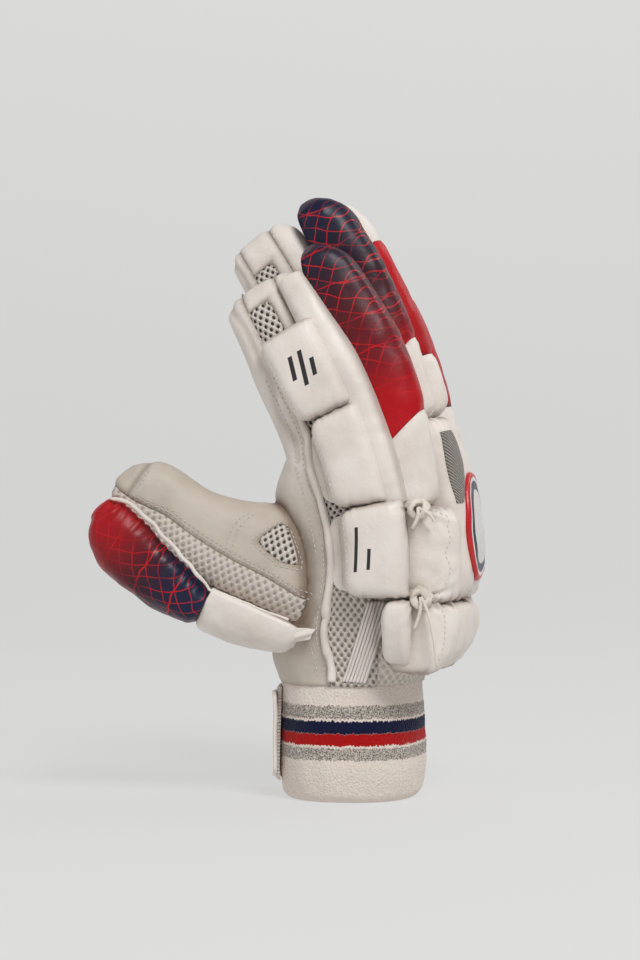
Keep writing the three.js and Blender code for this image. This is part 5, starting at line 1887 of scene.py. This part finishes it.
def pad_rows():
    """Rows down the index column's pads, and along the side pads' lower edges."""
    rows = []
    tree = tree_of("index_pad_upper_padded", "index_pad_lower_padded")
    for start, stop in ((0.05, 0.163), (0.176, 0.338)):
        s = np.linspace(start, stop, 60) * HAND_LENGTH
        for w in (-PITCH - 2.4, -2 * PITCH + 2.4):
            rows.append(cast(tree, hand_line.place(s, 60.0, w), hand_line.place(s, 0.0, w)))
    for name in ("index_side_pad_1", "index_side_pad_2", "index_side_pad_3"):
        start, stop, low, _ = SIDE_PADS[name]
        s = np.linspace(start * HAND_LENGTH + 5, stop * HAND_LENGTH - 5, 70)
        looked = [("_padded", 2.2, -40.0)]
        if name != "index_side_pad_1":
            looked.append(("_flange", -2.2, -30.0))
        for ending, offset, aim in looked:
            t = low * BODY_DEPTH + offset
            starts, aims = index_line.place(s, t, -90.0), index_line.place(s, t, aim)
            rows.append(cast(tree_of(name + ending), starts, aims))
    return [row for row in rows if len(row[0]) > 6]


stitch_rows("pad_stitches", pad_rows())


# The photograph's camera, in degrees and millimetres
CAMERA_TURN = 12
CAMERA_SIDE = -15.7
CAMERA_AWAY = 1200
CAMERA_HEIGHT = 149
CAMERA_ANGLE = 21.52


def light(name, place, aim, size, power):
    data = bpy.data.lights.new(name, "AREA")
    data.energy = power
    data.size = size
    lamp = linked(name, data)
    lamp.location = place
    lamp.rotation_euler = (Vector(aim) - Vector(place)).to_track_quat("-Z", "Y").to_euler()


def stage():
    """A camera where the photograph was taken, a pale sweep, and soft light."""
    turn = math.radians(CAMERA_TURN)
    right = np.array([math.cos(turn), math.sin(turn), 0])
    ahead = np.array([-math.sin(turn), math.cos(turn), 0])
    eye = ORIGIN + (right * CAMERA_SIDE - ahead * CAMERA_AWAY + np.array([0, 0, CAMERA_HEIGHT])) * MM
    data = bpy.data.cameras.new("camera")
    data.sensor_fit = "VERTICAL"
    data.sensor_height = 24
    data.lens = 12 / math.tan(math.radians(CAMERA_ANGLE) / 2)
    data.clip_start = 0.05
    camera = linked("camera", data)
    camera.location = eye
    camera.rotation_euler = (math.pi / 2, 0, turn)
    bpy.context.scene.camera = camera

    look = Look("backdrop_paper", Roughness=0.9)
    paper = look.noise(3.0, 2.0)
    look.colour(look.mix(paper, (0.2, 0.2, 0.2, 1), (0.206, 0.206, 0.206, 1)))
    high = look.step(look.split(look.place())[2], 0.0, 0.9)
    glow = look.mix(high, (0.49, 0.49, 0.487, 1), (0.56, 0.56, 0.557, 1))
    look.put(look.shader.inputs["Emission Color"], glow)
    look.shader.inputs["Emission Strength"].default_value = 1.0
    rows = [(-2.5, 0), (0.9, 0)]
    rows += [(0.9 + 0.9 * math.sin(a), 0.9 - 0.9 * math.cos(a)) for a in np.linspace(0.1, 1.5, 12)]
    rows += [(1.8, 3.0)]
    points, faces = [], []
    for depth, height in rows:
        for side in (-3.5, 3.5):
            points.append(tuple(right * side + ahead * depth + np.array([0, 0, height])))
    for i in range(len(rows) - 1):
        faces.append((2 * i, 2 * i + 1, 2 * i + 3, 2 * i + 2))
    mesh = mesh_of("backdrop", points, faces)
    mesh.materials.append(look.material)
    mesh.shade_smooth()
    sweep = linked("backdrop", mesh)

    def at(x, y, z):
        return tuple(right * x + ahead * y + np.array([0, 0, z]))

    aim = (0, 0, 0.14)
    light("key", at(0.6, -1.4, 1.6), aim, 0.8, 27)
    light("fill", at(-1.4, -1.2, 0.9), aim, 1.4, 5)
    light("rim", at(1.3, 0.5, 1.3), aim, 0.7, 5)
    world = bpy.data.worlds.new("studio")
    world.use_nodes = True
    world.node_tree.nodes["Background"].inputs[0].default_value = (1, 0.99, 0.98, 1)
    world.node_tree.nodes["Background"].inputs[1].default_value = 0.31
    bpy.context.scene.world = world
    bpy.context.scene.view_settings.view_transform = "Standard"


stage()
